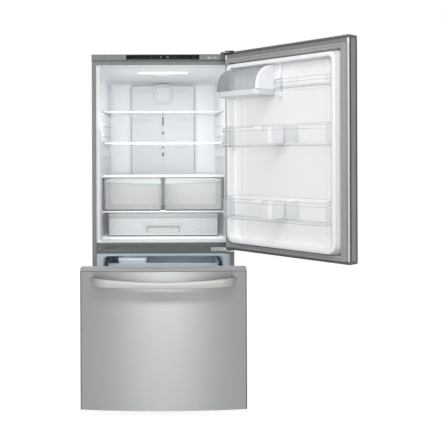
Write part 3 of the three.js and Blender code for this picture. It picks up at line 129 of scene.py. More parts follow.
def makeStudio():
    scene.world = bpy.data.worlds.new("paleStudio")
    scene.world.use_nodes = True
    tree = scene.world.node_tree
    tree.nodes.clear()
    light, seen = [put(tree, "ShaderNodeBackground", {"Strength": studio[key], "Color": (1, 1, 1, 1)})
                   for key in ("skyStrength", "seenStrength")]
    mix = put(tree, "ShaderNodeMixShader", {0: seenRay(tree), 1: light.outputs[0], 2: seen.outputs[0]})
    put(tree, "ShaderNodeOutputWorld", {"Surface": mix.outputs[0]})
    material = bpy.data.materials.new("studioFloor")
    material.use_nodes = True
    tree = material.node_tree
    tree.nodes.clear()
    diffuse = put(tree, "ShaderNodeBsdfDiffuse", {"Color": studio["floorColor"]})
    glow = put(tree, "ShaderNodeEmission", {"Strength": mathNode(tree, "MULTIPLY", seenRay(tree),
                                                                 studio["floorGlow"])})
    both = put(tree, "ShaderNodeAddShader", {0: diffuse.outputs[0], 1: glow.outputs[0]})
    put(tree, "ShaderNodeOutputMaterial", {"Surface": both.outputs[0]})
    mesh = bpy.data.meshes.new("studioFloor")
    r = studio["reach"]
    mesh.from_pydata([(-r, -r, 0), (r, -r, 0), (r, r, 0), (-r, r, 0)], [], [(0, 1, 2, 3)])
    mesh.materials.append(material)
    floor = bpy.data.objects.new("studioFloor", mesh)
    floor.location.z = -0.0005
    scene.collection.objects.link(floor)


makeStudio()
print("camera, lights and floor are in place")

# Finishes: two display colours, metallic, roughness from and to, pattern scale, bump strength and
# depth in mm, the material slot a piece has unless it says another, and what only some have:
# stretch (small = long along that axis), cloud, flake, along (brushed sideways), coat, specular,
# a painted end shade that darkens both ends (axis, middle, start, end and share of the colour left at both
# ends) and alpha (facing, edge).
finishes = {
    "stainlessBrushed": ((0.612, 0.617, 0.62), (0.595, 0.6, 0.605), 0.92, (0.42, 0.47), 700, 0.12, 0.2,
        "stainless_steel", {"stretch": (0.05, 0.05, 1), "cloud": 0.012, "along": 0.9}),
    # The edge steel is the same metal painted bright: a painted highlight line on the skin's back edge.
    "stainlessEdge": ((0.92, 0.905, 0.875), (0.88, 0.865, 0.84), 0.5, (0.3, 0.4), 300, 0.05, 0.2,
        "stainless_steel", {"stretch": (1, 1, 0.02)}),
    # The side and corner steels are the front steel painted darker: painted dark reflection of the
    # surroundings.
    "stainlessSide": ((0.53, 0.55, 0.55), (0.49, 0.51, 0.51), 0.9, (0.3, 0.42), 300, 0.05, 0.2,
        "stainless_steel", {"stretch": (1, 1, 0.02)}),
    "stainlessShade": ((0.25, 0.28, 0.28), (0.22, 0.25, 0.25), 0.8, (0.34, 0.46), 300, 0.05, 0.2,
        "stainless_steel", {"stretch": (1, 1, 0.02)}),
    # The handle finishes darken towards both ends of the bar: painted dark reflection.
    "handleAlong": ((0.7, 0.7, 0.69), (0.675, 0.675, 0.665), 0.9, (0.3, 0.36), 700, 0.04, 0.2, "handle_metal",
        {"stretch": (0.02, 1, 1), "fade": ("X", 0.33, 0.255, 0.335, 0.42)}),
    "handleUpright": ((0.7, 0.7, 0.69), (0.675, 0.675, 0.665), 0.9, (0.3, 0.36), 700, 0.04, 0.2, "handle_metal",
        {"stretch": (1, 1, 0.02), "fade": ("Z", 1.2, 0.33, 0.45, 0.42)}),
    "casePaint": ((0.49, 0.5, 0.497), (0.468, 0.478, 0.475), 0.25, (0.42, 0.56), 620, 0.22, 0.3, "case_paint",
        {"cloud": 0.03}),
    "galvanisedSheet": ((0.635, 0.65, 0.66), (0.61, 0.625, 0.637), 0.6, (0.4, 0.46), 420, 0.01, 0.1,
        "galvanised_sheet", {"cloud": 0.02, "flake": True}),
    "hingeSteel": ((0.86, 0.87, 0.88), (0.77, 0.78, 0.8), 1, (0.2, 0.36), 160, 0.06, 0.3, "hinge_steel"),
    "slideZinc": ((0.72, 0.75, 0.76), (0.64, 0.67, 0.69), 0.95, (0.28, 0.46), 120, 0.05, 0.2, "slide_steel",
        {"stretch": (1, 0.08, 1)}),
    "trimGrey": ((0.475, 0.487, 0.487), (0.455, 0.467, 0.467), 0.15, (0.36, 0.46), 700, 0.06, 0.2,
        "trim_plastic"),
    "mullionGrey": ((0.395, 0.41, 0.405), (0.37, 0.385, 0.38), 0.1, (0.42, 0.55), 620, 0.12, 0.2,
        "cap_plastic"),
    "capGrey": ((0.4, 0.41, 0.405), (0.36, 0.37, 0.365), 0, (0.4, 0.52), 560, 0.12, 0.2, "dark_plastic"),
    "drawerCapGrey": ((0.62, 0.63, 0.63), (0.59, 0.6, 0.6), 0.1, (0.38, 0.48), 560, 0.1, 0.2, "cap_plastic"),
    "hingeCoverGrey": ((0.34, 0.36, 0.355), (0.36, 0.38, 0.375), 0, (0.4, 0.52), 560, 0.12, 0.2,
        "dark_plastic"),
    "blackPlastic": ((0.12, 0.122, 0.127), (0.09, 0.092, 0.097), 0, (0.42, 0.56), 480, 0.14, 0.3,
        "black_plastic"),
    "linerWhite": ((0.925, 0.935, 0.94), (0.905, 0.917, 0.925), 0, (0.3, 0.4), 240, 0.035, 0.4, "liner_plastic",
        {"coat": 0.12}),
    "ductWhite": ((0.83, 0.84, 0.845), (0.815, 0.827, 0.835), 0, (0.3, 0.4), 240, 0.035, 0.4, "liner_plastic",
        {"coat": 0.12}),
    "doorLinerWhite": ((0.945, 0.95, 0.955), (0.93, 0.936, 0.942), 0, (0.3, 0.4), 240, 0.035, 0.4,
        "liner_plastic", {"coat": 0.12}),
    "freezerWhite": ((0.86, 0.885, 0.9), (0.83, 0.86, 0.88), 0, (0.34, 0.44), 240, 0.04, 0.4, "freezer_plastic",
        {"coat": 0.1}),
    # freezerShade is the freezer white darkened: painted shade for the unlit freezer room.
    "freezerShade": ((0.72, 0.77, 0.795), (0.69, 0.745, 0.775), 0, (0.34, 0.44), 240, 0.04, 0.4,
        "freezer_plastic", {"coat": 0.1}),
    "guideWhite": ((0.97, 0.972, 0.98), (0.955, 0.96, 0.967), 0, (0.22, 0.32), 300, 0.02, 0.3, "guide_plastic",
        {"coat": 0.2}),
    "guideFade": ((0.95, 0.957, 0.965), (0.935, 0.943, 0.952), 0, (0.22, 0.32), 300, 0.02, 0.3, "guide_plastic",
        {"alpha": (0.9, 0.97)}),
    "switchGrey": ((0.66, 0.67, 0.68), (0.63, 0.645, 0.655), 0.1, (0.36, 0.46), 700, 0.06, 0.2, "trim_plastic"),
    "drawerCapLight": ((0.7, 0.71, 0.71), (0.67, 0.68, 0.68), 0.1, (0.38, 0.48), 560, 0.1, 0.2, "cap_plastic"),
    "markGrey": ((0.42, 0.45, 0.46), (0.38, 0.41, 0.42), 0, (0.4, 0.5), 900, 0.02, 0.2, "display_black"),
    "crisperBody": ((0.975, 0.98, 0.98), (0.955, 0.96, 0.965), 0, (0.3, 0.4), 90, 0.02, 0.4, "clear_plastic",
        {"alpha": (0.8, 0.92)}),
    "lipWhite": ((0.75, 0.765, 0.77), (0.73, 0.745, 0.755), 0, (0.26, 0.34), 240, 0.02, 0.3, "guide_plastic",
        {"coat": 0.1}),
    # This grey draws thin dark lines, most of them painted shade lines along bars and the pantry's foot.
    "seamGrey": ((0.36, 0.38, 0.39), (0.32, 0.34, 0.35), 0, (0.3, 0.4), 300, 0.02, 0.3, "smoky_plastic"),
    "bandGrey": ((0.5, 0.51, 0.505), (0.47, 0.48, 0.475), 0.1, (0.4, 0.5), 560, 0.1, 0.2, "trim_plastic"),
    "shelfRim": ((0.92, 0.935, 0.94), (0.89, 0.91, 0.92), 0, (0.1, 0.2), 90, 0.02, 0.4, "clear_plastic",
        {"alpha": (0.25, 0.7)}),
    "crisperClear": ((0.9, 0.91, 0.915), (0.87, 0.885, 0.89), 0, (0.08, 0.14), 70, 0.015, 0.4, "clear_plastic",
        {"alpha": (0.1, 0.55)}),
    "pantryFront": ((0.9, 0.905, 0.91), (0.87, 0.88, 0.885), 0, (0.14, 0.24), 90, 0.02, 0.4, "clear_plastic",
        {"alpha": (0.42, 0.75)}),
    "pantryBand": ((0.66, 0.67, 0.675), (0.63, 0.64, 0.645), 0, (0.2, 0.3), 90, 0.02, 0.4, "smoky_plastic",
        {"alpha": (0.55, 0.85)}),
    "ventShade": ((0.85, 0.855, 0.86), (0.82, 0.83, 0.835), 0, (0.4, 0.5), 300, 0.03, 0.3, "dark_plastic"),
    # This dark grey is painted shadow: it fills slots, gaps and thin lines where shade falls.
    "ventDark": ((0.32, 0.33, 0.335), (0.28, 0.29, 0.295), 0, (0.4, 0.5), 300, 0.03, 0.3, "dark_plastic"),
    "trayGrey": ((0.64, 0.68, 0.71), (0.61, 0.65, 0.685), 0, (0.34, 0.44), 260, 0.04, 0.3, "tray_plastic"),
    "gasketGrey": ((0.61, 0.615, 0.615), (0.57, 0.575, 0.575), 0, (0.55, 0.72), 210, 0.12, 0.4, "gasket_rubber",
        {"cloud": 0.04}),
    "rubberBlack": ((0.16, 0.16, 0.165), (0.11, 0.11, 0.115), 0, (0.62, 0.8), 260, 0.2, 0.5,
        "compressor_paint"),
    "compressorBlack": ((0.1, 0.103, 0.108), (0.075, 0.078, 0.083), 0.2, (0.28, 0.42), 150, 0.1, 0.5,
        "compressor_paint"),
    "coilAluminium": ((0.82, 0.83, 0.84), (0.73, 0.74, 0.76), 1, (0.3, 0.48), 180, 0.05, 0.3, "coil_aluminium"),
    "copperTube": ((0.8, 0.5, 0.34), (0.66, 0.38, 0.25), 1, (0.28, 0.5), 90, 0.05, 0.3, "compressor_paint"),
    "foamYellow": ((0.9, 0.84, 0.62), (0.8, 0.72, 0.48), 0, (0.85, 0.98), 130, 0.5, 1.2, "foam",
        {"flake": True}),
    "displayBlack": ((0.09, 0.11, 0.12), (0.07, 0.09, 0.1), 0, (0.2, 0.28), 90, 0.01, 0.2, "display_black",
        {"specular": 0.1}),
    "clearPlastic": ((0.86, 0.875, 0.885), (0.83, 0.85, 0.86), 0, (0.06, 0.12), 70, 0.015, 0.4, "clear_plastic",
        {"alpha": (0.1, 0.55)}),
    "clearRim": ((0.6, 0.605, 0.63), (0.55, 0.56, 0.59), 0, (0.1, 0.18), 90, 0.02, 0.4, "clear_plastic",
        {"alpha": (0.55, 0.9)}),
    "clearBright": ((0.9, 0.915, 0.92), (0.87, 0.89, 0.9), 0, (0.1, 0.2), 90, 0.02, 0.4, "clear_plastic",
        {"alpha": (0.62, 0.9)}),
    "smokyPlastic": ((0.62, 0.64, 0.66), (0.59, 0.61, 0.63), 0, (0.1, 0.18), 80, 0.02, 0.4, "smoky_plastic",
        {"alpha": (0.34, 0.85)}),
    "frameSmoke": ((0.45, 0.47, 0.48), (0.4, 0.42, 0.43), 0, (0.14, 0.22), 80, 0.02, 0.4, "smoky_plastic",
        {"alpha": (0.55, 0.92)}),
    "shelfGlass": ((0.88, 0.925, 0.92), (0.86, 0.905, 0.9), 0, (0.03, 0.07), 40, 0.004, 0.3, "shelf_glass",
        {"alpha": (0.1, 0.45)}),
    "pantryClear": ((0.86, 0.875, 0.88), (0.83, 0.85, 0.86), 0, (0.12, 0.2), 70, 0.015, 0.4, "clear_plastic",
        {"alpha": (0.34, 0.75)}),
}
materials = {}


def linear(color):
    return tuple(c / 12.92 if c <= 0.04045 else ((c + 0.055) / 1.055) ** 2.4 for c in color)


def mixColor(tree, factor, first, second):
    first, second = [(*value, 1) if isinstance(value, tuple) else value for value in (first, second)]
    return put(tree, "ShaderNodeMix", {"Factor": factor, "A": first, "B": second},
               data_type="RGBA").outputs["Result"]


def pattern(tree, scale, detail=4, stretch=(1, 1, 1), flake=False):
    place = put(tree, "ShaderNodeTexCoord").outputs["Object"]
    mapped = put(tree, "ShaderNodeMapping", {"Vector": place, "Scale": stretch}).outputs["Vector"]
    if flake:
        cells = put(tree, "ShaderNodeTexVoronoi", {"Vector": mapped, "Scale": scale})
        return put(tree, "ShaderNodeRGBToBW", {"Color": cells.outputs["Color"]}).outputs[0]
    return put(tree, "ShaderNodeTexNoise", {"Vector": mapped, "Scale": scale, "Detail": detail}).outputs["Fac"]


def spread(tree, value, low, high, fromLow=0.3, fromHigh=0.7):
    return put(tree, "ShaderNodeMapRange", {"Value": value, "From Min": fromLow, "From Max": fromHigh,
                                            "To Min": low, "To Max": high}).outputs["Result"]


def axisValue(tree, axis):
    place = put(tree, "ShaderNodeTexCoord").outputs["Object"]
    return put(tree, "ShaderNodeSeparateXYZ", {0: place}).outputs[axis]


def newShader(name):
    materials[name] = material = bpy.data.materials.new(name)
    material.use_nodes = True
    tree = material.node_tree
    tree.nodes.clear()
    shader = put(tree, "ShaderNodeBsdfPrincipled")
    put(tree, "ShaderNodeOutputMaterial", {"Surface": shader.outputs[0]})
    return tree, shader


def makeFinish(name, color, other, metallic, roughness, scale, bump, depth, extra):
    tree, shader = newShader(name)
    base = linear(color)
    grain = pattern(tree, scale, 4, extra.get("stretch", (1, 1, 1)), extra.get("flake", False))
    paint = mixColor(tree, spread(tree, grain, 0, 1), base, linear(other))
    if "cloud" in extra:
        broad = pattern(tree, 5, 2, (1, 1, 0.5))
        paint = mixColor(tree, spread(tree, broad, 0, 0.5), paint,
                         tuple(min(1.0, c + extra["cloud"]) for c in base))
    # Painted shade: the colour darkens towards both ends along an axis, standing in for dark reflections at the
    # ends of a handle.
    if "fade" in extra:
        axis, middle, start, end, left = extra["fade"]
        away = mathNode(tree, "ABSOLUTE", mathNode(tree, "SUBTRACT", axisValue(tree, axis), middle))
        paint = mixColor(tree, spread(tree, away, 0, 1, start, end), paint, tuple(c * left for c in base))
    normal = put(tree, "ShaderNodeBump", {"Strength": bump, "Distance": depth * mm,
                                          "Height": grain}).outputs["Normal"]
    plug(tree, shader, {"Base Color": paint, "Roughness": spread(tree, grain, *roughness), "Metallic": metallic,
                        "Specular IOR Level": extra.get("specular", 0.5), "Normal": normal})
    if "along" in extra:
        plug(tree, shader, {"Anisotropic": extra["along"], "Anisotropic Rotation": 0.25})
    if "coat" in extra:
        plug(tree, shader, {"Coat Weight": extra["coat"], "Coat Roughness": 0.2})
    if "alpha" in extra:
        # Clear plastics let most light pass on its way to what stands behind them.
        facing = put(tree, "ShaderNodeLayerWeight", {"Blend": 0.35}).outputs["Facing"]
        alpha = spread(tree, facing, *extra["alpha"], 0.15, 0.95)
        path = put(tree, "ShaderNodeLightPath").outputs
        passing = mathNode(tree, "MAXIMUM", path["Is Shadow Ray"], path["Is Diffuse Ray"])
        plug(tree, shader, {"Alpha": mathNode(tree, "MULTIPLY", alpha, spread(tree, passing, 1.0, 0.12, 0, 1))})


for name, row in finishes.items():
    makeFinish(name, *row[:7], row[8] if len(row) > 8 else {})

# The lamp lens glows in a row of soft spots; small marks on the display glow faintly.
glowLook = {"pitch": 0.030, "range": (0.12, 1.0), "mark": (0.62, 0.74, 0.55), "markStrength": 0.35}
lensTree, lensShader = newShader("lampLens")
turn = mathNode(lensTree, "MULTIPLY", axisValue(lensTree, "X"), 2 * math.pi / glowLook["pitch"])
wave = mathNode(lensTree, "SINE", turn)
plug(lensTree, lensShader, {"Base Color": (0.95, 0.96, 0.97, 1), "Roughness": 0.3,
                            "Emission Color": (1, 1, 1, 1),
                            "Emission Strength": spread(lensTree, wave, *glowLook["range"], -1, 1)})
markTree, markShader = newShader("displayMark")
mark = linear(glowLook["mark"])
plug(markTree, markShader, {
    "Base Color": mixColor(markTree, pattern(markTree, 900, 2), mark, tuple(c * 0.8 for c in mark)),
    "Emission Color": (*mark, 1), "Emission Strength": glowLook["markStrength"]})
print("finishes made:", len(materials))


def addBox(bm, x0, x1, y0, y1, z0, z1):
    made = [bm.verts.new((x, y, z)) for z in (z0, z1) for y in (y0, y1) for x in (x0, x1)]
    for face in ((0, 2, 3, 1), (4, 5, 7, 6), (0, 1, 5, 4), (2, 6, 7, 3), (0, 4, 6, 2), (1, 3, 7, 5)):
        bm.faces.new([made[i] for i in face])


# Joins rings of equal length into a skin; it is closed at both ends or runs back to its first ring.
# Paint gives the material of each band between two rings.
def addLoft(bm, rings, slot=0, wrap=False, paint=None):
    made = [[bm.verts.new(p) for p in ring] for ring in rings]
    count = len(made[0])
    for k, (first, second) in enumerate(zip(made, made[1:] + made[:1] if wrap else made[1:])):
        for i in range(count):
            j = (i + 1) % count
            face = bm.faces.new((first[i], first[j], second[j], second[i]))
            face.material_index = paint[k] if paint else slot
    if not wrap:
        for ring in (made[0][::-1], made[-1]):
            bm.faces.new(ring).material_index = slot


# Stands a flat outline up along an axis: y keeps (x, z), x keeps (y, z), z keeps (x, y).
def onAxis(axis, u, v, w):
    return {"x": (w, u, v), "y": (u, w, v), "z": (u, v, w)}[axis]


def addPrism(bm, outline, axis, start, end, slot=0):
    addLoft(bm, [[onAxis(axis, u, v, w) for u, v in outline] for w in (start, end)], slot)


def quarter(steps, first=0):
    return [math.pi / 2 * k / steps for k in range(first, steps + 1)]


def arcPoints(u, v, radius, start, end, steps):
    turns = [math.radians(start + (end - start) * i / steps) for i in range(steps + 1)]
    return [(u + radius * math.cos(t), v + radius * math.sin(t)) for t in turns]


def circle(u, v, radius, steps):
    return arcPoints(u, v, radius, 0, 360 - 360 / steps, steps - 1)


# One radius for all corners, or one for the lower and one for the upper corners, or all four.
def roundRect(u0, u1, v0, v1, radius, steps=6):
    radii = radius if isinstance(radius, tuple) else (radius,) * 4
    if len(radii) == 2:
        radii = (radii[0], radii[1], radii[1], radii[0])
    corners = [(u1, v0, -90, -1, 1), (u1, v1, 0, -1, -1), (u0, v1, 90, 1, -1), (u0, v0, 180, 1, 1)]
    points = []
    for (u, v, start, du, dv), r in zip(corners, radii):
        points += arcPoints(u + du * r, v + dv * r, r, start, start + 90, steps)
    return points


# The same outline in the plane at y, between x0 and x1, or from -half to half.
def flatRing(x0, x1, z0, z1, y, radius, steps=6):
    return [(u, y, v) for u, v in roundRect(x0, x1, z0, z1, radius, steps)]


def evenRing(half, z0, z1, y, radius, steps=7):
    return flatRing(-half, half, z0, z1, y, radius, steps)


def addRod(bm, axis, u, v, radius, start, end, steps=24, slot=0):
    addPrism(bm, circle(u, v, radius, steps), axis, start, end, slot)


# Turned parts: a profile of (radius, height) swept round an axis.
def addTurned(bm, axis, u, v, profile, steps=32, wrap=False):
    turns = [2 * math.pi * k / steps for k in range(steps)]
    addLoft(bm, [[onAxis(axis, u + r * math.cos(t), v + r * math.sin(t), w) for t in turns]
                 for r, w in profile], wrap=wrap)


def roundedSteps(start, end, radius, count=3):
    low = [(radius * (1 - math.sin(a)), start + radius * (1 - math.cos(a))) for a in quarter(count)]
    return low + [(inset, end - (w - start)) for inset, w in reversed(low)]


# A plate across an axis with rounded corners and edges.
def addPlate(bm, rect, radius, axis, start, end, edge=1.0, steps=6, slot=0):
    u0, u1, v0, v1 = rect
    addLoft(bm, [[onAxis(axis, u, v, w) for u, v in
                  roundRect(u0 + g, u1 - g, v0 + g, v1 - g, max(radius - g, 0.05), steps)]
                 for g, w in roundedSteps(start, end, edge)], slot)


# The same span on the left and on the right side.
def bothSides(a, b):
    return [sorted((side * a, side * b)) for side in (-1, 1)]


def quadPoints(a, b, c, steps):
    return [tuple((1 - t) ** 2 * p + 2 * t * (1 - t) * q + t * t * r for p, q, r in zip(a, b, c))
            for t in (i / steps for i in range(steps + 1))]


def smoothStep(t):
    t = min(max(t, 0.0), 1.0)
    return t * t * (3 - 2 * t)


# Distance outside a rounded rectangle, negative inside it.
def roundGap(x, z, x0, x1, z0, z1, radius):
    dx = abs(x - (x0 + x1) / 2) - (x1 - x0) / 2 + radius
    dz = abs(z - (z0 + z1) / 2) - (z1 - z0) / 2 + radius
    return math.hypot(max(dx, 0), max(dz, 0)) + min(max(dx, dz), 0) - radius


# A thin closed sheet whose front follows a height function, lying on a wall at y.
def addRelief(bm, x0, x1, z0, z1, nx, nz, y, side, height, thick=1.0):
    grid = []
    for j in range(nz + 1):
        z = z0 + (z1 - z0) * j / nz
        spots = [x0 + (x1 - x0) * i / nx for i in range(nx + 1)]
        grid.append([bm.verts.new((x, y + side * (0.15 + height(x, z)), z)) for x in spots])
    back = [[bm.verts.new((v.co.x, y - side * thick, v.co.z)) for v in row] for row in (grid[0], grid[-1])]
    for j in range(nz):
        for i in range(nx):
            bm.faces.new((grid[j][i], grid[j][i + 1], grid[j + 1][i + 1], grid[j + 1][i]))
    for i in range(nx):
        bm.faces.new((grid[0][i], back[0][i], back[0][i + 1], grid[0][i + 1]))
        bm.faces.new((grid[-1][i], grid[-1][i + 1], back[1][i + 1], back[1][i]))
        bm.faces.new((back[0][i], back[1][i], back[1][i + 1], back[0][i + 1]))
    bm.faces.new([row[0] for row in grid] + [back[1][0], back[0][0]])
    bm.faces.new([back[0][-1], back[1][-1]] + [row[-1] for row in reversed(grid)])


# A tube round a path of points.
def addTube(bm, path, radius, steps):
    rings = []
    path = [Vector(point) for point in path]
    normal = None
    for i, point in enumerate(path):
        along = (path[min(i + 1, len(path) - 1)] - path[max(i - 1, 0)]).normalized()
        if normal is None:
            normal = along.orthogonal().normalized()
        normal = (normal - along * normal.dot(along)).normalized()
        side = along.cross(normal)
        turns = [2 * math.pi * k / steps for k in range(steps)]
        rings.append([point + radius * (math.cos(t) * normal + math.sin(t) * side) for t in turns])
    addLoft(bm, rings)


# An open moulded tub with draft, rounded corners and a rolled rim; edges take the second material.
def addTub(bm, x0, x1, y0, y1, z0, z1, corner, draft, wall, rim, steps=5):
    def ring(inset, z, grow=0.0):
        d = draft * (1 - (z - z0) / (z1 - z0)) + inset - grow
        return [(u, v, z) for u, v in roundRect(x0 + d, x1 - d, y0 + d, y1 - d, max(corner - inset, 1), steps)]
    rings = [ring(5, z0), ring(1.5, z0 + 1.2), ring(0, z0 + 5), ring(0, z1 - 5 - rim), ring(0, z1 - rim),
             ring(0, z1 - rim, 1.6), ring(0, z1 - 0.5, 1.6), ring(0.4, z1), ring(wall - 0.4, z1),
             ring(wall, z1 - 0.6), ring(wall, z0 + wall + 5), ring(wall + 1.5, z0 + wall + 1.4),
             ring(wall + 5, z0 + wall)]
    addLoft(bm, rings, paint=[1, 1, 0, 0, 1, 1, 1, 1, 1, 0, 0, 0])


# Puts a drawn piece in its place on a body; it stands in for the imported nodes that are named.
def finish(bm, name, body, looks, stands=None, bevel=0.0, bevelSteps=2, sharp=44):
    bmesh.ops.remove_doubles(bm, verts=bm.verts, dist=0.01)
    bmesh.ops.dissolve_degenerate(bm, edges=bm.edges, dist=0.001)
    bmesh.ops.recalc_face_normals(bm, faces=bm.faces)
    bm.transform(places.get(body, atCabinet) @ Matrix.Scale(mm, 4))
    mesh = bpy.data.meshes.new(name)
    bm.to_mesh(mesh)
    bm.free()
    looks = looks.split()
    for look in looks:
        mesh.materials.append(materials[look])
    piece = bpy.data.objects.new(name, mesh)
    scene.collection.objects.link(piece)
    settle(piece, body, bevel, bevelSteps, sharp)
    if stands:
        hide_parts(stands)
    return piece


# Rounds the sharp edges, smooths the shading and leaves a plain mesh.
def settle(piece, body, bevel, bevelSteps, sharp):
    piece.data.polygons.foreach_set("use_smooth", [True] * len(piece.data.polygons))
    if bevel > 0:
        rounding = piece.modifiers.new("rounding", "BEVEL")
        rounding.width = bevel * mm
        rounding.segments = bevelSteps
        rounding.limit_method = "ANGLE"
        rounding.angle_limit = math.radians(sharp)
        rounding.harden_normals = False
        rounding.use_clamp_overlap = True
        piece.modifiers.new("weighting", "WEIGHTED_NORMAL").keep_sharp = True
    else:
        piece.data.set_sharp_from_angle(angle=math.radians(sharp))
    flatten(piece)
    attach(piece, body)


def flatten(piece):
    bpy.context.view_layer.update()
    graph = bpy.context.evaluated_depsgraph_get()
    result = bpy.data.meshes.new_from_object(piece.evaluated_get(graph), preserve_all_data_layers=True,
                                             depsgraph=graph)
    old = piece.data
    piece.modifiers.clear()
    piece.data = result
    if old.users == 0:
        bpy.data.meshes.remove(old)


# Geometry Nodes trees for what repeats. Inputs are named; each tree ends in real, painted geometry.
def newTree(name, inputs):
    tree = bpy.data.node_groups.new(name, "GeometryNodeTree")
    tree.interface.new_socket("Geometry", in_out="INPUT", socket_type="NodeSocketGeometry")
    for label, kind in inputs.items():
        tree.interface.new_socket(label, in_out="INPUT", socket_type="NodeSocket" + kind)
    tree.interface.new_socket("Finish", in_out="INPUT", socket_type="NodeSocketMaterial")
    tree.interface.new_socket("Geometry", in_out="OUTPUT", socket_type="NodeSocketGeometry")
    return tree, put(tree, "NodeGroupInput").outputs


# Copies a shape to points, makes the copies real and paints them.
def closeTree(tree, start, points, shape, turn=None):
    copies = put(tree, "GeometryNodeInstanceOnPoints", {"Points": points, "Instance": shape})
    if turn:
        plug(tree, copies, {"Rotation": turn})
    realize = put(tree, "GeometryNodeRealizeInstances", {0: copies.outputs[0]})
    paint = put(tree, "GeometryNodeSetMaterial", {"Geometry": realize.outputs[0], "Material": start["Finish"]})
    put(tree, "NodeGroupOutput", {0: paint.outputs[0]})
    return tree


# A row of equal bars: count, first centre, step from one to the next, and the size of a bar.
def barRowTree():
    tree, start = newTree("barRow", {"Count": "Int", "First": "Vector", "Step": "Vector", "Size": "Vector",
                                     "Turn": "Vector"})
    line = put(tree, "GeometryNodeMeshLine", {"Count": start["Count"], "Start Location": start["First"],
                                              "Offset": start["Step"]}, mode="OFFSET")
    bar = put(tree, "GeometryNodeMeshCube", {"Size": start["Size"]})
    return closeTree(tree, start, line.outputs[0], bar.outputs[0], start["Turn"])


# A cross-slotted screw head at each point of the input mesh, facing along Turn.
def screwTree():
    tree, start = newTree("screwHeads", {"Radius": "Float", "Height": "Float", "Turn": "Vector"})
    radius, height = start["Radius"], start["Height"]
    head = put(tree, "GeometryNodeMeshCone", {"Vertices": 20, "Radius Bottom": radius, "Depth": height,
                                              "Radius Top": mathNode(tree, "MULTIPLY", radius, 0.72)})
    cutter = put(tree, "GeometryNodeMeshBoolean", {"Mesh 1": head.outputs["Mesh"]}, operation="DIFFERENCE")
    for wide, narrow in (("X", "Y"), ("Y", "X")):
        size = put(tree, "ShaderNodeCombineXYZ", {wide: mathNode(tree, "MULTIPLY", radius, 1.1), "Z": height,
                                                  narrow: mathNode(tree, "MULTIPLY", radius, 0.22)})
        groove = put(tree, "GeometryNodeMeshCube", {"Size": size.outputs[0]})
        lift = put(tree, "ShaderNodeCombineXYZ", {"Z": height})
        move = put(tree, "GeometryNodeTransform", {"Geometry": groove.outputs[0],
                                                   "Translation": lift.outputs[0]})
        plug(tree, cutter, {"Mesh 2": move.outputs[0]})
    return closeTree(tree, start, start["Geometry"], cutter.outputs["Mesh"], start["Turn"])


# A pair of tapering shelf supports, one on each side wall, at every point.
def wallRibTree():
    tree, start = newTree("wallRibs", {"Front": "Float", "Back": "Float", "Front Half": "Float",
                                       "Back Half": "Float", "Depth": "Float", "Height": "Float"})
    parts = put(tree, "GeometryNodeJoinGeometry")
    for side in (-1, 1):
        ends = [put(tree, "ShaderNodeCombineXYZ", {"X": mathNode(tree, "MULTIPLY", start[half], side),
                                                   "Y": start[depth]}).outputs[0]
                for half, depth in (("Front Half", "Front"), ("Back Half", "Back"))]
        line = put(tree, "GeometryNodeCurvePrimitiveLine", {"Start": ends[0], "End": ends[1]})
        shape = put(tree, "GeometryNodeCurvePrimitiveQuadrilateral",
                    {"Width": mathNode(tree, "MULTIPLY", start["Depth"], 2), "Height": start["Height"]},
                    mode="RECTANGLE")
        rounded = put(tree, "GeometryNodeFilletCurve", {"Curve": shape.outputs[0]}, mode="POLY")
        plug(tree, rounded, {"Count": 4, "Radius": 0.0034})
        solid = put(tree, "GeometryNodeCurveToMesh", {"Curve": line.outputs[0], "Fill Caps": True,
                                                      "Profile Curve": rounded.outputs[0]})
        plug(tree, parts, {0: solid.outputs[0]})
    return closeTree(tree, start, start["Geometry"], parts.outputs[0])


trees = {"bars": barRowTree(), "screws": screwTree(), "ribs": wallRibTree()}


# Runs a tree on points in closed millimetres, then turns the result into a plain placed mesh.
def grow(name, tree, points, body, look, settings, slot=None, bevel=0.0):
    mesh = bpy.data.meshes.new(name)
    mesh.from_pydata([Vector(p) * mm for p in points], [], [])
    piece = bpy.data.objects.new(name, mesh)
    scene.collection.objects.link(piece)
    modifier = piece.modifiers.new(name, "NODES")
    modifier.node_group = trees[tree]
    sockets = {item.name: item.identifier for item in trees[tree].interface.items_tree
               if item.in_out == "INPUT"}
    for label, value in {**settings, "Finish": materials[look]}.items():
        modifier[sockets[label]] = value
    flatten(piece)
    piece.data.transform(places.get(body, atCabinet))
    settle(piece, body, bevel, 2, 38)


def degrees(turn):
    return [math.radians(a) for a in turn]


def addScrews(name, body, points, radius, turn, slot=None):
    grow(name, "screws", points, body, "hingeSteel",
         {"Radius": radius * mm, "Height": radius * 0.5 * mm, "Turn": degrees(turn)}, slot)


def addBars(name, body, look, count, first, step, size, turn=(0, 0, 0), bevel=0.0, slot=None):
    first, step, size = [[v * mm for v in values] for values in (first, step, size)]
    grow(name, "bars", [(0, 0, 0)], body, look,
         {"Count": count, "First": first, "Step": step, "Size": size, "Turn": degrees(turn)}, slot, bevel)


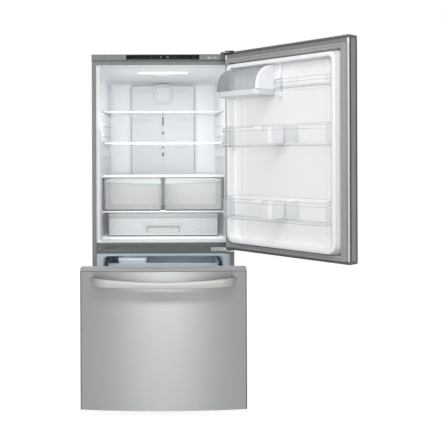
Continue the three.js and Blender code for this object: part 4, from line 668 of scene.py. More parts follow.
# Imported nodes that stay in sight: a finish and the rounding of their edges in mm.
nodeLooks = {"chassis_base": ("galvanisedSheet", 0.5), "cabinet_foam": ("foamYellow", 0),
    "door_foam": ("foamYellow", 0), "drawer_foam": ("foamYellow", 0), "top_hinge": ("hingeSteel", 0.6),
    "mid_hinge": ("hingeSteel", 0.6), "toe_grille": ("capGrey", 0.5), "evaporator": ("coilAluminium", 0),
    "evaporator_cover": ("freezerWhite", 0.5), "condenser": ("slideZinc", 0), "fixed_rails": ("slideZinc", 0.5),
    "machine_cover": ("galvanisedSheet", 0.3), "middle_rail_left": ("slideZinc", 0.5),
    "middle_rail_right": ("slideZinc", 0.5), "drawer_frame": ("slideZinc", 0.5)}
for name, (look, rounding) in nodeLooks.items():
    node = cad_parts[name]
    node.data.materials.clear()
    node.data.materials.append(materials[look])
    node.data.polygons.foreach_set("material_index", [0] * len(node.data.polygons))
    node.modifiers.new("weld", "WELD").merge_threshold = 0.00002
    if rounding > 0:
        flat = node.modifiers.new("flat", "DECIMATE")
        flat.decimate_type = "DISSOLVE"
        flat.angle_limit = math.radians(1)
        edge = node.modifiers.new("edge", "BEVEL")
        edge.width = rounding * mm
        edge.segments = 2
        edge.limit_method = "ANGLE"
        edge.angle_limit = math.radians(32)
        node.modifiers.new("shade", "WEIGHTED_NORMAL").keep_sharp = True
        node.data.polygons.foreach_set("use_smooth", [True] * len(node.data.polygons))
print("packed nodes dressed:", len(nodeLooks))

# Door and drawer fronts: folded steel skins, bowed handles and soft seals.
front = {"half": 378, "inner": -19, "edge": -85.5, "bulge": 22, "corner": 9, "sheet": 1.0, "lip": 11,
    "sideDark": 13, "sideFront": 17, "shadeCorner": 5, "faceSteps": 64, "cornerSteps": 8}
levels = {"drawerBottom": 43, "drawerTop": 683, "doorBottom": 701.5, "doorTop": 1730}
inner = front["inner"]


# Points round the outside, from the back right, past the bulging face, to the back left.
def frontPath(inset):
    half, edge, corner = front["half"] - inset, front["edge"] + inset, front["corner"]
    side = [(half, edge + front["sideFront"]), (half, inner - front["sideDark"]), (half, inner)]
    left = quadPoints((-half, edge + corner), (-half, edge), (-half + corner, edge), front["cornerSteps"])
    face = quadPoints((-half + corner, edge), (0, edge - 2 * front["bulge"]), (half - corner, edge),
                      front["faceSteps"])
    right = quadPoints((half - corner, edge), (half, edge), (half, edge + corner), front["cornerSteps"])
    return [(-x, y) for x, y in side[::-1]] + left + face[1:-1] + right + side


# The side returns end in a narrow lip that the liner tucks behind.
def makeSkin(name, body, node, bottom, top):
    bm = bmesh.new()
    within = frontPath(front["sheet"])
    lip, back = front["half"] - front["lip"], inner - front["sheet"]
    ring = [(-lip, inner)] + frontPath(0) + [(lip, inner), (lip, back), (within[-1][0], back)]
    addPrism(bm, ring + within[::-1][1:-1] + [(within[0][0], back), (-lip, back)], "z", bottom, top)
    for face in bm.faces:
        x, y, z = face.calc_center_median()
        # The back edge strip is painted bright: a painted highlight line.
        if abs(y - inner) < 0.01:
            face.material_index = 1
        # The side returns are painted darker as a reflection of dark surroundings, darkest in strips at the
        # back and front; the rounded front corners take the darkest painted reflection too.
        elif abs(x) > front["half"] - 0.01:
            dark = y > inner - front["sideDark"] or y < front["edge"] + front["sideFront"]
            face.material_index = 3 if dark else 2
        elif abs(x) > front["half"] - front["shadeCorner"]:
            face.material_index = 3
    looks = "stainlessBrushed stainlessEdge stainlessSide stainlessShade"
    steelFronts.objects.link(finish(bm, name, body, looks, node, bevel=0.35, sharp=38))


makeSkin("doorSkinPanel", "door", "door_skin", levels["doorBottom"] + 14.3, levels["doorTop"] - 14.3)
makeSkin("drawerSkinPanel", "freezer_drawer", "drawer_skin", levels["drawerBottom"], levels["drawerTop"] - 14.3)

handlePlan = {"foot": 46, "middle": 62, "thick": 15, "slant": 14, "round": 3.6, "stations": 56, "post": 30,
    "crown": 1.5}


# A bowed bar with a softly crowned face on two feet; x is where it stands across the front.
def makeHandle(name, body, node, look, length, endHeight, middleHeight, sag, x, z, upright=False):
    p = handlePlan
    half, dip, bow = length / 2, endHeight - middleHeight, p["middle"] - p["foot"]
    bm = bmesh.new()
    rings = []
    for i in range(p["stations"] + 1):
        t = -1 + 2 * i / p["stations"]
        arch = 1 - t * t
        high = endHeight / 2 - (dip / 2 + sag) * arch
        low = -endHeight / 2 + (dip / 2 - sag) * arch
        outer = -(p["foot"] + bow * arch)
        edge = 1.6 if abs(t) == 1 else 0.0
        ring = []
        for v, w in roundRect(outer + edge, outer + p["thick"] - edge, low + edge, high - edge, p["round"], 5):
            level = (w - low) / (high - low)
            crown = p["crown"] * (1 - (2 * level - 1) ** 2) if v < outer + 4 else 0
            ring.append((t * (half - p["slant"] * (1 - level)), v - crown, w))
        rings.append(ring)
    addLoft(bm, rings)
    footPoints = roundRect(-endHeight / 2 + 2, endHeight / 2 - 2, 0, p["post"], 5, 4)
    for side in (-1, 1):
        rings = []
        for share in (k / 6 for k in range(7)):
            depth = -(p["foot"] - 4) * (1 - share) + 12 * share
            flare = 5 * share * share
            rings.append([(side * (half - 7 - p["slant"] * (1 - (w + endHeight / 2) / endHeight) - u
                                   - flare * (1 if u < p["post"] / 2 else -0.6)), depth, w)
                          for w, u in footPoints])
        addLoft(bm, rings)
    share = (330 if not upright else 310) / (front["half"] - front["corner"])
    y = front["edge"] - front["bulge"] * (1 - share * share)
    bm.transform(Matrix.Translation((x, y, z)) @ Matrix.Rotation(math.radians(90 if upright else 0), 4, "Y"))
    finish(bm, name, body, look, node, sharp=50)


makeHandle("drawerHandleBar", "freezer_drawer", "drawer_handle", "handleAlong", 660, 44, 31, 12, 0, 627)
makeHandle("doorHandleBar", "door", "door_handle", "handleUpright", 640, 40, 28, 0, -310, 1091.5, True)

# Seals: two soft lips and a magnet bead, mitred at the corners.
gasketPlan = {"outer": 366, "profile": [(0.4, -18.7), (0, -16), (0.8, -6.5), (3.2, -2.2), (6.0, -1.0),
    (9.5, -0.7), (11.6, -1.6), (12.8, -3.8), (14.0, -1.9), (17.2, -0.7), (21.0, -1.1), (24.0, -3.0),
    (25.6, -7.5), (26.0, -15), (24.8, -18.7)]}
for name, body, node, bottom, top in (("doorSeal", "door", "door_gasket", 713.5, 1695),
                                      ("drawerSeal", "freezer_drawer", "drawer_gasket", 46, 679)):
    bm = bmesh.new()
    addLoft(bm, [evenRing(gasketPlan["outer"] - inset, bottom + inset, top - inset, y,
                          max(7 - inset * 0.2, 2), 3)
                 for inset, y in gasketPlan["profile"]], wrap=True)
    finish(bm, name, body, "gasketGrey", node, sharp=50)
print("fronts, handles and seals made")

# Door liner: a moulded white tray with a raised rim. Ribs are (middle, width, lift).
linerPlan = {"half": 357, "bottom": 722, "top": 1686, "rimHalf": 336, "rimBottom": 741, "rimTop": 1661,
    "rimY": 26, "bayHalf": 312, "lean": 4, "bottomCorner": 44, "topCorner": 24,
    "ridge": (-5.5, 3.5, 1474, 1651),
    "ribs": ((250, 13, 3.2), (-262, 13, 2.4), (-60, 60, 0.8)), "flangeHalf": 366.8}
bayX = linerPlan["bayHalf"] - 0.3


# Soft upright ribs near both sides, shallow fields between them and a level line at the foot.
def bayRelief(x, z):
    height = sum(lift * smoothStep(1 - abs(x - middle) / width) for middle, width, lift in linerPlan["ribs"])
    height += 2.0 * smoothStep(1 - abs(z - 798) / 5)
    height += 2.6 * smoothStep(-roundGap(x, z, -296, -14, 1500, 1628, 40) / 9)
    height += 1.2 * smoothStep(-roundGap(x, z, -292, 232, 815, 1190, 60) / 14)
    return height * smoothStep(-roundGap(x, z, -306, 306, 771, 1631, 30) / 8)


# The grey band round a liner, half under the seal, that closes the foam between liner and steel.
def makeFlange(name, body, bottom, top, width):
    bm = bmesh.new()
    addLoft(bm, [evenRing(linerPlan["flangeHalf"] - g, bottom + g, top - g, inner + y, 3, 8)
                 for g, y in ((0, -2.2), (0, -0.3), (0.3, 0.0), (width, 0.0), (width, -2.2))], wrap=True)
    finish(bm, name, body, "bandGrey", sharp=42)


def makeDoorLiner():
    p = linerPlan
    low, high = p["bottomCorner"], p["topCorner"]
    rim, bay = p["rimHalf"], p["bayHalf"]

    # The ring at one inset from the rim's outer edge, above or below the room floor.
    def rimRing(half, g, y, lowCorner, highCorner):
        return evenRing(half, p["rimBottom"] + g, p["rimTop"] - g, y, (lowCorner, highCorner), 8)
    rings = [evenRing(p["half"], p["bottom"], p["top"], inner - 2.4, 10, 8),
             evenRing(p["half"], p["bottom"], p["top"], inner - 0.4, 10, 8),
             rimRing(rim + 4, -4, inner, low + 8, high + 6), rimRing(rim, 0, inner + 5, low + 6, high + 5),
             rimRing(rim - 3.4, 3.4, p["rimY"] - 6, low + 4, high + 4)]
    for a in quarter(4, 1):
        g = 4 + 5 * (1 - math.cos(a))
        rings.append(rimRing(rim - g, g, p["rimY"] - 6 + 6 * math.sin(a), low, high))
    for a in quarter(4):
        g = -5 * (1 - math.sin(a))
        rings.append(rimRing(rim - p["lean"] - 20.2 - g, 24 + g, p["rimY"] - 5 + 5 * math.cos(a), low - 8,
                             high - 4))
    for a in quarter(4):
        g = 7 * (1 - math.cos(a))
        rings.append(rimRing(bay - 0.6 - g, 24.6 + g, inner + 7 - 7 * math.sin(a), low - 10, high - 6))
    bm = bmesh.new()
    addLoft(bm, rings)
    finish(bm, "doorLinerTray", "door", "doorLinerWhite", "door_liner", sharp=42)
    makeFlange("doorFlange", "door", 716.2, 1715.6, 50)
    bm = bmesh.new()
    addRelief(bm, -304, 304, 773, 1629, 152, 214, inner, 1, bayRelief)
    finish(bm, "doorLinerField", "door", "doorLinerWhite", sharp=60)

    # A ridge between the small bin and the dairy box, rests for the bins and a raised oblong.
    bm = bmesh.new()
    addPlate(bm, p["ridge"], 3, "y", inner - 1, inner + 24, 3)
    for x, z in ((-bayX, 877), (bayX - 9, 877), (-bayX, 1235), (bayX - 9, 1235), (-bayX, 1503)):
        addPlate(bm, (x, x + 9, z - 9, z - 0.4), 2.5, "y", inner - 1, inner + 34, 2)
    addLoft(bm, [flatRing(-288 + g, -262 - g, 783 + g, 833 - g, inner + y, radius)
                 for g, radius, y in ((0, 11, -0.5), (0, 11, 1.6), (4, 8, 1.6), (4, 8, -0.5))], wrap=True)
    finish(bm, "doorLinerRidge", "door", "doorLinerWhite", sharp=42)


makeDoorLiner()
makeFlange("drawerFlange", "freezer_drawer", 44.6, 668.4, 38)
bm = bmesh.new()
addLoft(bm, [evenRing(half, low, high, inner + y, radius, 8) for half, low, high, y, radius in (
    (357, 52, 660, -2.4, 10), (357, 52, 660, -0.4, 10), (317, 76, 649, 0, 30), (313, 80, 645, 4, 28),
    (311, 82, 643, 19, 26), (308.5, 84.5, 640.5, 23.6, 24), (304, 89, 636, 25, 22), (293, 100, 625, 25, 18),
    (289, 104, 621, 22, 16), (287, 106, 619, 6, 14), (283, 110, 615, 1.5, 12))])
finish(bm, "drawerLinerTray", "freezer_drawer", "freezerWhite", "drawer_liner", sharp=42)
print("inner liners of the fronts made")

# Door bins: clear moulded trays with darker edges. Spans are x0, x1, bottom and top.
binPlan = {"wall": 2.5, "floorDrop": 13, "frontDrop": 12, "band": 17, "edge": 1.8, "steps": 8, "sideSteps": 10}
bins = {
    "lowerBin": {"node": "lower_bin", "span": (-bayX, bayX, 877, 990), "depth": 112, "corner": 42,
        "divider": -103},
    "middleBin": {"node": "middle_bin", "span": (-bayX, bayX, 1235, 1342), "depth": 112, "corner": 42,
        "divider": -99},
    "smallBin": {"node": "small_bin", "span": (-bayX, -5.8, 1503, 1562), "depth": 94, "corner": 36},
}


# A tray with evenly spread side points, so that its rim can slope down towards the front.
def addBinShell(bm, plan, drop, floorDrop, band):
    wall, lip = binPlan["wall"], binPlan["edge"]
    left, right, bottom, top = plan["span"]
    floor = bottom + floorDrop

    def outline(inset):
        x0, x1, y0, y1 = left + inset, right - inset, inner + 0.3 + inset, inner + plan["depth"] - inset
        radius, count = max(plan["corner"] - inset, 1), binPlan["sideSteps"]
        points = [(x1, y0 + (y1 - radius - y0) * i / count) for i in range(count)]
        points += quadPoints((x1, y1 - radius), (x1, y1), (x1 - radius, y1), binPlan["steps"])
        points += quadPoints((x0 + radius, y1), (x0, y1), (x0, y1 - radius), binPlan["steps"])
        return points + [(x0, y1 - radius + (y0 - y1 + radius) * (i + 1) / count) for i in range(count)]
    start, end = inner + 26, inner + plan["depth"] - plan["corner"] * 0.55
    tops = [top - drop * smoothStep((y - start) / (end - start)) for x, y in outline(0)]
    # Insets with a fixed height, or a height measured down from the sloping rim.
    low = [(wall, floor - wall), (wall, bottom + 0.6), (wall - 0.6, bottom), (0.8, bottom), (0.1, bottom + 0.9),
           (0, bottom + 3.2)]
    high = ([(0, band + lip), (0, band)] if band else []) + [(0, lip), (0.4, 0), (wall - 0.4, 0), (wall, lip)]
    rings = [[(x, y, z) for x, y in outline(inset)] for inset, z in low]
    rings += [[(x, y, z - fall) for (x, y), z in zip(outline(inset), tops)] for inset, fall in high]
    rings += [[(x, y, z) for x, y in outline(inset)] for inset, z in ((wall, floor + 2), (wall + 2, floor))]
    addLoft(bm, rings, paint=[0, 0, 1, 1, 1] + ([0, 1] if band else []) + [0, 1, 1, 1, 0, 0])


for name, plan in bins.items():
    bm = bmesh.new()
    addBinShell(bm, plan, binPlan["frontDrop"], binPlan["floorDrop"], binPlan["band"])
    if "divider" in plan:
        x, low, high = plan["divider"], plan["span"][2] + 12.4, plan["span"][3] - 14
        reach = inner + plan["depth"] - 2.6
        addPlate(bm, (x - 0.8, x + 0.8, low, high), 0.6, "y", inner + 3, reach - 2.2, 0.3, 2)
        addPlate(bm, (x - 1, x + 1, low, high), 0.6, "y", reach - 2.0, reach, 0.3, 2, 1)
    for face in bm.faces:
        if face.calc_center_median().y < inner + 4 and face.material_index == 0:
            face.material_index = 2
    finish(bm, name + "Tray", "door", "clearPlastic clearRim crisperBody", plan["node"], sharp=40)

# Bottle guides: a white tab hooked over the bin front with a curved paddle.
guidePlan = {"x0": -17, "span": 60, "depth": 92, "wall": 2.0, "tab": 44, "bend": 20}
for plan, name, node in ((bins["lowerBin"], "lower", "lower_bottle_guide"),
                         (bins["middleBin"], "middle", "middle_bottle_guide")):
    p = guidePlan
    outer, wall, bend = inner + plan["depth"], p["wall"], p["bend"]
    face = outer - binPlan["wall"] - 0.3
    top = plan["span"][3] - binPlan["frontDrop"]
    x0, x1 = p["x0"], p["x0"] + p["span"]
    outside = quadPoints((x0 + bend, face), (x0, face), (x0, face - bend), 12)
    inside = quadPoints((x0 + wall, face - bend), (x0 + wall, face - wall), (x0 + bend, face - wall), 12)
    bm = bmesh.new()
    addPrism(bm, [(x1 + 4, face)] + outside + [(x0, face - p["depth"]), (x0 + wall, face - p["depth"])] + inside
             + [(x1 + 4, face - wall)], "z", plan["span"][2] + binPlan["floorDrop"] + 0.5, top - 0.1)
    for item in bm.faces:
        if item.calc_center_median().x > x0 + bend + 6 and abs(item.normal.z) < 0.5:
            item.material_index = 1
    left, right = x1 - 10, x1 + p["tab"]
    addPlate(bm, (left, right, top - 16, top + 2.3), 8.5, "y", outer + 0.35, outer + 2.3, 0.8)
    addPlate(bm, (left, right, top - 14, top + 2.3), 6, "y", face - wall, face - 0.1, 0.6)
    addPlate(bm, (left + 7, right - 7, top + 0.4, top + 2.3), 0.8, "y", face - 1, outer + 1.5, 0.3, 2)
    finish(bm, name + "GuidePaddle", node, "guideWhite guideFade", node, bevel=0.4, sharp=40)
print("bins and guides made")

# Dairy compartment: a tub, a white end housing, a fixed roof part and the smoky lid.
dairyPlan = {"x0": 43.5, "x1": 311.7, "depth": 134, "tubTop": 1512, "tubHeight": 30, "roof": 1637,
    "housing": 14, "roofEdge": 50, "wall": 2.5, "corner": 30, "steps": 26, "rounding": 7}


def dairyCurve(inset, low=-1e9, high=1e9):
    p = dairyPlan
    face, roof = inner + p["depth"] - inset, p["roof"]
    curve = quadPoints((face, p["tubTop"]), (face, roof - 12 - inset), (inner + 0.4, roof - inset), p["steps"])
    return [spot for spot in curve if low <= spot[0] <= high]


def makeDairy():
    p = dairyPlan
    x0, x1, wall, base, r = p["x0"], p["x1"], p["wall"], p["tubTop"], p["rounding"]
    housingX, edge = x0 + p["housing"], inner + p["roofEdge"]
    bm = bmesh.new()
    addBinShell(bm, {**p, "span": (x0, x1, base - p["tubHeight"], base)}, 0, wall + 0.3, 0)
    finish(bm, "dairyTub", "door", "clearBright lipWhite", "dairy_box", sharp=38)

    # The housing rolls over into the roof; its side towards the small bin is rounded.
    bm = bmesh.new()
    stations = [(housingX - 0.1, 0.0)] + [(x0 + r * (1 - math.sin(a)), r * 0.8 * (1 - math.cos(a)))
                                          for a in quarter(6)]
    start = (inner + 0.4, base + 0.1)
    addLoft(bm, [[(x, y, z) for y, z in [start] + dairyCurve(inset)] for x, inset in stations])
    finish(bm, "dairyEndHousing", "door", "guideWhite", sharp=48)

    bm = bmesh.new()
    addPrism(bm, dairyCurve(0, high=edge) + dairyCurve(wall, high=edge)[::-1], "x", housingX - 2.5, x1)
    addPrism(bm, [start] + dairyCurve(0), "x", x1 - wall, x1)
    finish(bm, "dairyRoof", "door", "smokyPlastic", bevel=0.5, sharp=50)

    # The lid is a curved shell with end walls and two pivots.
    bm = bmesh.new()
    lidStart = edge + 1.4
    outer, under, side = [dairyCurve(inset, low=lidStart) for inset in (0, 2, 1.0)]
    for curve in (outer, under, side):
        curve[0] = (curve[0][0], base + 0.6)
    lidX0, lidX1 = housingX + 0.3, x1 - wall - 0.3
    addPrism(bm, outer + under[::-1], "x", lidX0, lidX1)
    for item in bm.faces:
        x, y, z = item.calc_center_median()
        item.material_index = 1 if abs(item.normal.x) > 0.5 or z < base + 0.7 or y < lidStart + 0.8 else 0
    for x in (lidX0 + 0.2, lidX1 - 2.2):
        addPrism(bm, [(lidStart + 1, base + 0.6)] + side, "x", x, x + 2.0)
    for x in (lidX0 - 2.2, lidX1 - 2):
        addRod(bm, "x", edge + 5, p["roof"] - 14, 2, x, x + 4.2, 12, 1)
    finish(bm, "dairyLidShell", "dairy_lid", "smokyPlastic clearRim", "dairy_lid", bevel=0.3)


makeDairy()
print("dairy compartment made")

# Fresh food room: a moulded white tub seen from inside.
freshPlan = {"mouthHalf": 351.0, "half": 336, "backHalf": 322, "floor": 737, "ceiling": 1666, "drop": 33,
    "mouthDepth": 16, "depth": 580, "mouthBottom": 733.7, "mouthTop": 1670.3, "step": 751, "stepFront": 106,
    "domeY": 304, "wall": 2.4, "depths": (18, 60, 150, 260, 380, 500, 555)}


# The room narrows and its ceiling drops towards the back.
def inwards(y, start, end):
    near, far = freshPlan["mouthDepth"], freshPlan["depth"]
    return start + (end - start) * (y - near) / (far - near)


def freshHalf(y):
    return inwards(y, freshPlan["half"], freshPlan["backHalf"])


def freshTop(y):
    return inwards(y, freshPlan["ceiling"], freshPlan["ceiling"] - freshPlan["drop"])


def makeFreshRoom():
    p = freshPlan
    w = p["wall"]

    def mouth(g, y, corner=8):
        return evenRing(p["mouthHalf"] + g, p["mouthBottom"] - g, p["mouthTop"] + g, y, corner)
    rings = [evenRing(p["backHalf"] + w, p["floor"] - w, freshTop(580) + w, 582, 12),
             evenRing(p["half"] + w, p["floor"] - w, p["ceiling"] + w, 18, 12), mouth(2.2, 1.4),
             mouth(2.2, 0.2), mouth(0.6, 0.2), mouth(0, 1.2)]
    for t in (0.2, 0.4, 0.6, 0.8):
        half = p["mouthHalf"] + (p["half"] - p["mouthHalf"]) * smoothStep(t * 1.05)
        rise = 3.3 * smoothStep(t)
        rings.append(evenRing(half, p["mouthBottom"] + rise, p["mouthTop"] - 1.3 * rise, 1.2 + 15 * t,
                              9 + 3 * t))
    rings += [evenRing(freshHalf(y), p["floor"], freshTop(y), y, 14) for y in p["depths"]]
    for a in quarter(5, 1):
        y, g = 560 + 20 * math.sin(a), 18 * (1 - math.cos(a))
        rings.append(evenRing(freshHalf(y) - g, p["floor"] + g, freshTop(y) - g, y, 14 + g * 0.4))
    bm = bmesh.new()
    addLoft(bm, rings)
    finish(bm, "freshRoomTub", "cabinet", "linerWhite", "fresh_food_liner", sharp=42)

    bm = bmesh.new()
    near = p["stepFront"]
    corners = [(freshHalf(near) - 0.4, near), (freshHalf(575) - 0.4, 575), (0.4 - freshHalf(575), 575),
               (0.4 - freshHalf(near), near)]
    addLoft(bm, [[(x, max(y, near + g), z) for x, y in corners] for g, z in (
        (0, p["floor"] - 1), (0, p["step"] - 3), (0.9, p["step"] - 0.9), (3, p["step"]))])
    finish(bm, "freshFloorStep", "cabinet", "linerWhite", sharp=60)

    # Two shallow rounded fields pressed into the back wall on either side of the duct cover.
    bm = bmesh.new()
    for x0, x1 in bothSides(199, 310):
        addRelief(bm, x0, x1, 1090, 1612, 36, 100, 579.4, -1,
                  lambda x, z: 2.6 * smoothStep(roundGap(x, z, x0 + 7, x1 - 7, 1096, 1604, 30) / 5 + 0.5))
    finish(bm, "freshBackFields", "cabinet", "linerWhite", sharp=60)

    bm = bmesh.new()
    addLoft(bm, [[(x, y, freshTop(y) + drop) for x, y in circle(0, p["domeY"], radius, 48)]
                 for radius, drop in (
        (50, 0.2), (50, -2.0), (48.5, -4.6), (45, -6.2), (38, -7), (20, -7.4))])
    finish(bm, "ceilingDome", "cabinet", "linerWhite", sharp=50)


makeFreshRoom()
# Shelf supports moulded along both walls; each row tapers with the wall.
ribPlan = {"front": 132, "back": 540, "height": 8, "depth": 9,
    "levels": (1427, 1254, 1069, 881, 1370, 1310, 1192)}
grow("shelfSupports", "ribs", [(0, 0, level - 0.3 - ribPlan["height"] / 2) for level in ribPlan["levels"]],
     "cabinet", "linerWhite", {"Front": ribPlan["front"] * mm, "Back": ribPlan["back"] * mm,
                               "Front Half": freshHalf(ribPlan["front"]) * mm,
                               "Back Half": freshHalf(ribPlan["back"]) * mm,
                               "Depth": ribPlan["depth"] * mm, "Height": ribPlan["height"] * mm})
print("fresh food room made")

# Glass shelves: a clear plate in a moulded rim with a bright front bar and side tabs.
shelfPlan = {"front": 112, "back": 520, "rim": 12, "glass": 4.5, "tab": 118}


# The shelf's outline with rounded corners, inset all round.
def shelfOutline(inset, radius):
    f, b = shelfPlan["front"], shelfPlan["back"]
    points = [(freshHalf(f) - 1 - inset, f + inset), (freshHalf(b) - 1 - inset, b - inset),
              (-freshHalf(b) + 1 + inset, b - inset), (-freshHalf(f) + 1 + inset, f + inset)]
    outline = []
    for i in range(4):
        here, before, after = [Vector(points[k % 4]) for k in (i, i - 1, i + 1)]
        outline += quadPoints(here + (before - here).normalized() * radius, here,
                              here + (after - here).normalized() * radius, 5)
    return outline


def addRim(bm, bottom, top):
    rim, edge = shelfPlan["rim"], 1.4
    outer, inside = shelfOutline(0, 6), shelfOutline(rim, 4)
    outerIn, innerOut = shelfOutline(edge, 5), shelfOutline(rim - edge, 4)
    addLoft(bm, [[(x, y, z) for x, y in loop] for loop, z in (
        (outer, bottom + edge), (outer, top - edge), (outerIn, top), (innerOut, top), (inside, top - edge),
        (inside, bottom + edge), (innerOut, bottom), (outerIn, bottom))], wrap=True)


def addGlass(bm, top):
    p = shelfPlan
    addPrism(bm, shelfOutline(p["rim"] - 0.8, 4), "z", top - 1.5 - p["glass"], top - 1.5)


def makeShelf(name, node, bottom, top):
    f = shelfPlan["front"]
    bm = bmesh.new()
    addRim(bm, bottom, top)
    # The rim's sides take the darker smoked finish: partly the edge seen end-on, partly painted shadow along
    # the wall.
    for face in bm.faces:
        x, y, z = face.calc_center_median()
        face.material_index = int(abs(x) > freshHalf(y) - 14 and y > f + 12)
    finish(bm, name + "Rim", "cabinet", "shelfRim frameSmoke", node, sharp=50)
    bm = bmesh.new()
    half = freshHalf(f) - 8
    addPlate(bm, (-half, half, bottom + 2.2, top - 1.8), 2, "y", f - 0.3, f + 5, 1.2, 3)
    for x0, x1 in bothSides(shelfPlan["tab"] - 9, shelfPlan["tab"] + 9):
        addPlate(bm, (x0, x1, top - 1.6, top + 2.6), 1.4, "y", f + 0.5, f + 4, 0.8, 3)
    finish(bm, name + "FrontBar", "cabinet", "clearBright", sharp=50)
    # The side tabs are real clips, drawn dark grey as painted shade at the shelf's ends.
    bm = bmesh.new()
    x = freshHalf(f) - 2
    for side in (-1, 1):
        addPrism(bm, [(side * (x - u), bottom + v) for u, v in ((28, -0.2), (27, 3.6), (0, 12), (0, 7))],
                 "y", f + 2, f + 4)
    finish(bm, name + "SideTabs", "cabinet", "frameSmoke", bevel=0.5, sharp=38)
    bm = bmesh.new()
    addGlass(bm, top)
    finish(bm, name + "Glass", "cabinet", "shelfGlass", bevel=0.4, sharp=38)


makeShelf("upperShelf", "upper_shelf", 1427, 1437)
makeShelf("middleShelf", "middle_shelf", 1254, 1266)

# The crisper frame: smoked cover and deck rims, a grey centre post and grey side cheeks.
crisperPlan = {"coverBottom": 1069, "coverTop": 1088, "deckBottom": 881, "deckTop": 894, "post": 7,
    "front": 118, "back": 500, "inner": 10, "top": 1059.7, "lipFront": 104, "wall": 2.4, "corner": 16}


def makeCrisperFrame():
    p, f = crisperPlan, shelfPlan["front"]
    half, side = freshHalf(f) - 1.2, freshHalf(f + 18)
    cover, deck = p["coverBottom"], p["deckTop"]
    bm = bmesh.new()
    addRim(bm, cover, p["coverTop"])
    addRim(bm, p["deckBottom"], deck)
    finish(bm, "crisperFrameRims", "cabinet", "shelfRim", "crisper_cover", sharp=50)
    # Grey strips under the cover's front bar and over the deck's front are painted shade lines.
    bm = bmesh.new()
    addPlate(bm, (-half + 3, half - 3, cover + 0.4, cover + 4.3), 1, "y", f - 0.6, f + 4, 0.5, 2)
    for x0, x1 in bothSides(16, half - 6):
        addPlate(bm, (x0, x1, deck - 4.4, deck - 0.4), 1, "y", f - 1.1, f + 3, 0.4, 2)
    finish(bm, "crisperShadeLines", "cabinet", "seamGrey", sharp=50)
    bm = bmesh.new()
    for low, high in ((cover + 4.5, p["coverTop"] - 0.3), (p["deckBottom"] + 0.8, deck - 1.2)):
        addPlate(bm, (-half, half, low, high), 3, "y", f - 0.8, f + 6, 1.6, 4)
    finish(bm, "crisperFrameFronts", "cabinet", "guideWhite", sharp=50)
    bm = bmesh.new()
    # The first strip is another painted shade line under the cover's front bar.
    addPlate(bm, (-half + 4, half - 4, cover + 0.3, cover + 4.0), 1, "y", f + 1, f + 4, 0.5, 2)
    addPlate(bm, (-p["post"], p["post"], deck - 1, cover + 1), 2.5, "y", f + 4, p["back"], 1.2, 3)
    shape = roundRect(side - 10, side - 1.6, deck - 1, cover + 1, (2, 5, 5, 2), 4)
    cx, cz = side - 5.8, (deck + cover) / 2
    for sign in (-1, 1):
        addLoft(bm, [[(sign * (cx + (u - cx) * (1 - g / 5)), y, cz + (v - cz) * (1 - g / 90)) for u, v in shape]
                     for g, y in roundedSteps(f + 1, f + 16, 1.0)])
    finish(bm, "crisperFramePosts", "cabinet", "frameSmoke", sharp=50)
    bm = bmesh.new()
    addGlass(bm, p["coverTop"])
    addGlass(bm, deck)
    finish(bm, "crisperFrameGlass", "cabinet", "shelfGlass", bevel=0.4, sharp=38)


# Behind the clear front the walls and floor of a tub are frosted.
def frostBack(bm, depth):
    for face in bm.faces:
        if face.calc_center_median().y > depth and face.material_index == 0:
            face.material_index = 2


# The white pull lip hangs in front of a crisper; its lower edge is part of one wide arc.
def makeCrisper(name, node, side):
    p = crisperPlan
    f, reach = p["front"], freshHalf(shelfPlan["front"] + 18) - 12.5
    x0, x1 = sorted((side * p["inner"], side * reach))
    bm = bmesh.new()
    addTub(bm, x0, x1, f, p["back"], p["deckTop"] + 0.4, p["top"], p["corner"], 2.0, p["wall"], 4)
    frostBack(bm, f + 9)
    finish(bm, name + "Tub", node, "crisperClear clearRim crisperBody", node)
    rings = []
    for t in (k / 40 for k in range(41)):
        x = x0 + 2 + (x1 - x0 - 4) * t
        ends = 1.2 if t in (0, 1) else 0
        low, top = p["top"] - 24 + 14 * (abs(x) / reach) ** 3, p["top"] - 0.2 - ends
        a, b = p["lipFront"] + ends * 0.4, p["lipFront"] + 3.2 - ends * 0.4
        rings.append([(x, y, z) for y, z in (
            (b, low + ends), (b, top - 3), (f + 0.8, top - 3), (f + 0.8, top), (a + 1.2, top),
            (a + 0.3, top - 0.6),
            (a, top - 2), (a - 0.5, (low + top) / 2), (a, low + 2 + ends), (a + 0.6, low + 0.4 + ends))])
    bm = bmesh.new()
    addLoft(bm, rings)
    finish(bm, name + "Lip", node, "lipWhite", sharp=46)


makeCrisperFrame()
makeCrisper("leftCrisper", "crisper_left", -1)
makeCrisper("rightCrisper", "crisper_right", 1)

# The wide pantry drawer: frosted front with a grip pocket, darker rim at the sides.
pantryPlan = {"half": 303, "front": 112, "back": 510, "bottom": 751.3, "top": 875, "face": 14, "wall": 2.6,
    "grip": (-84, 84, 771, 803), "gripDepth": 9, "corner": 10}


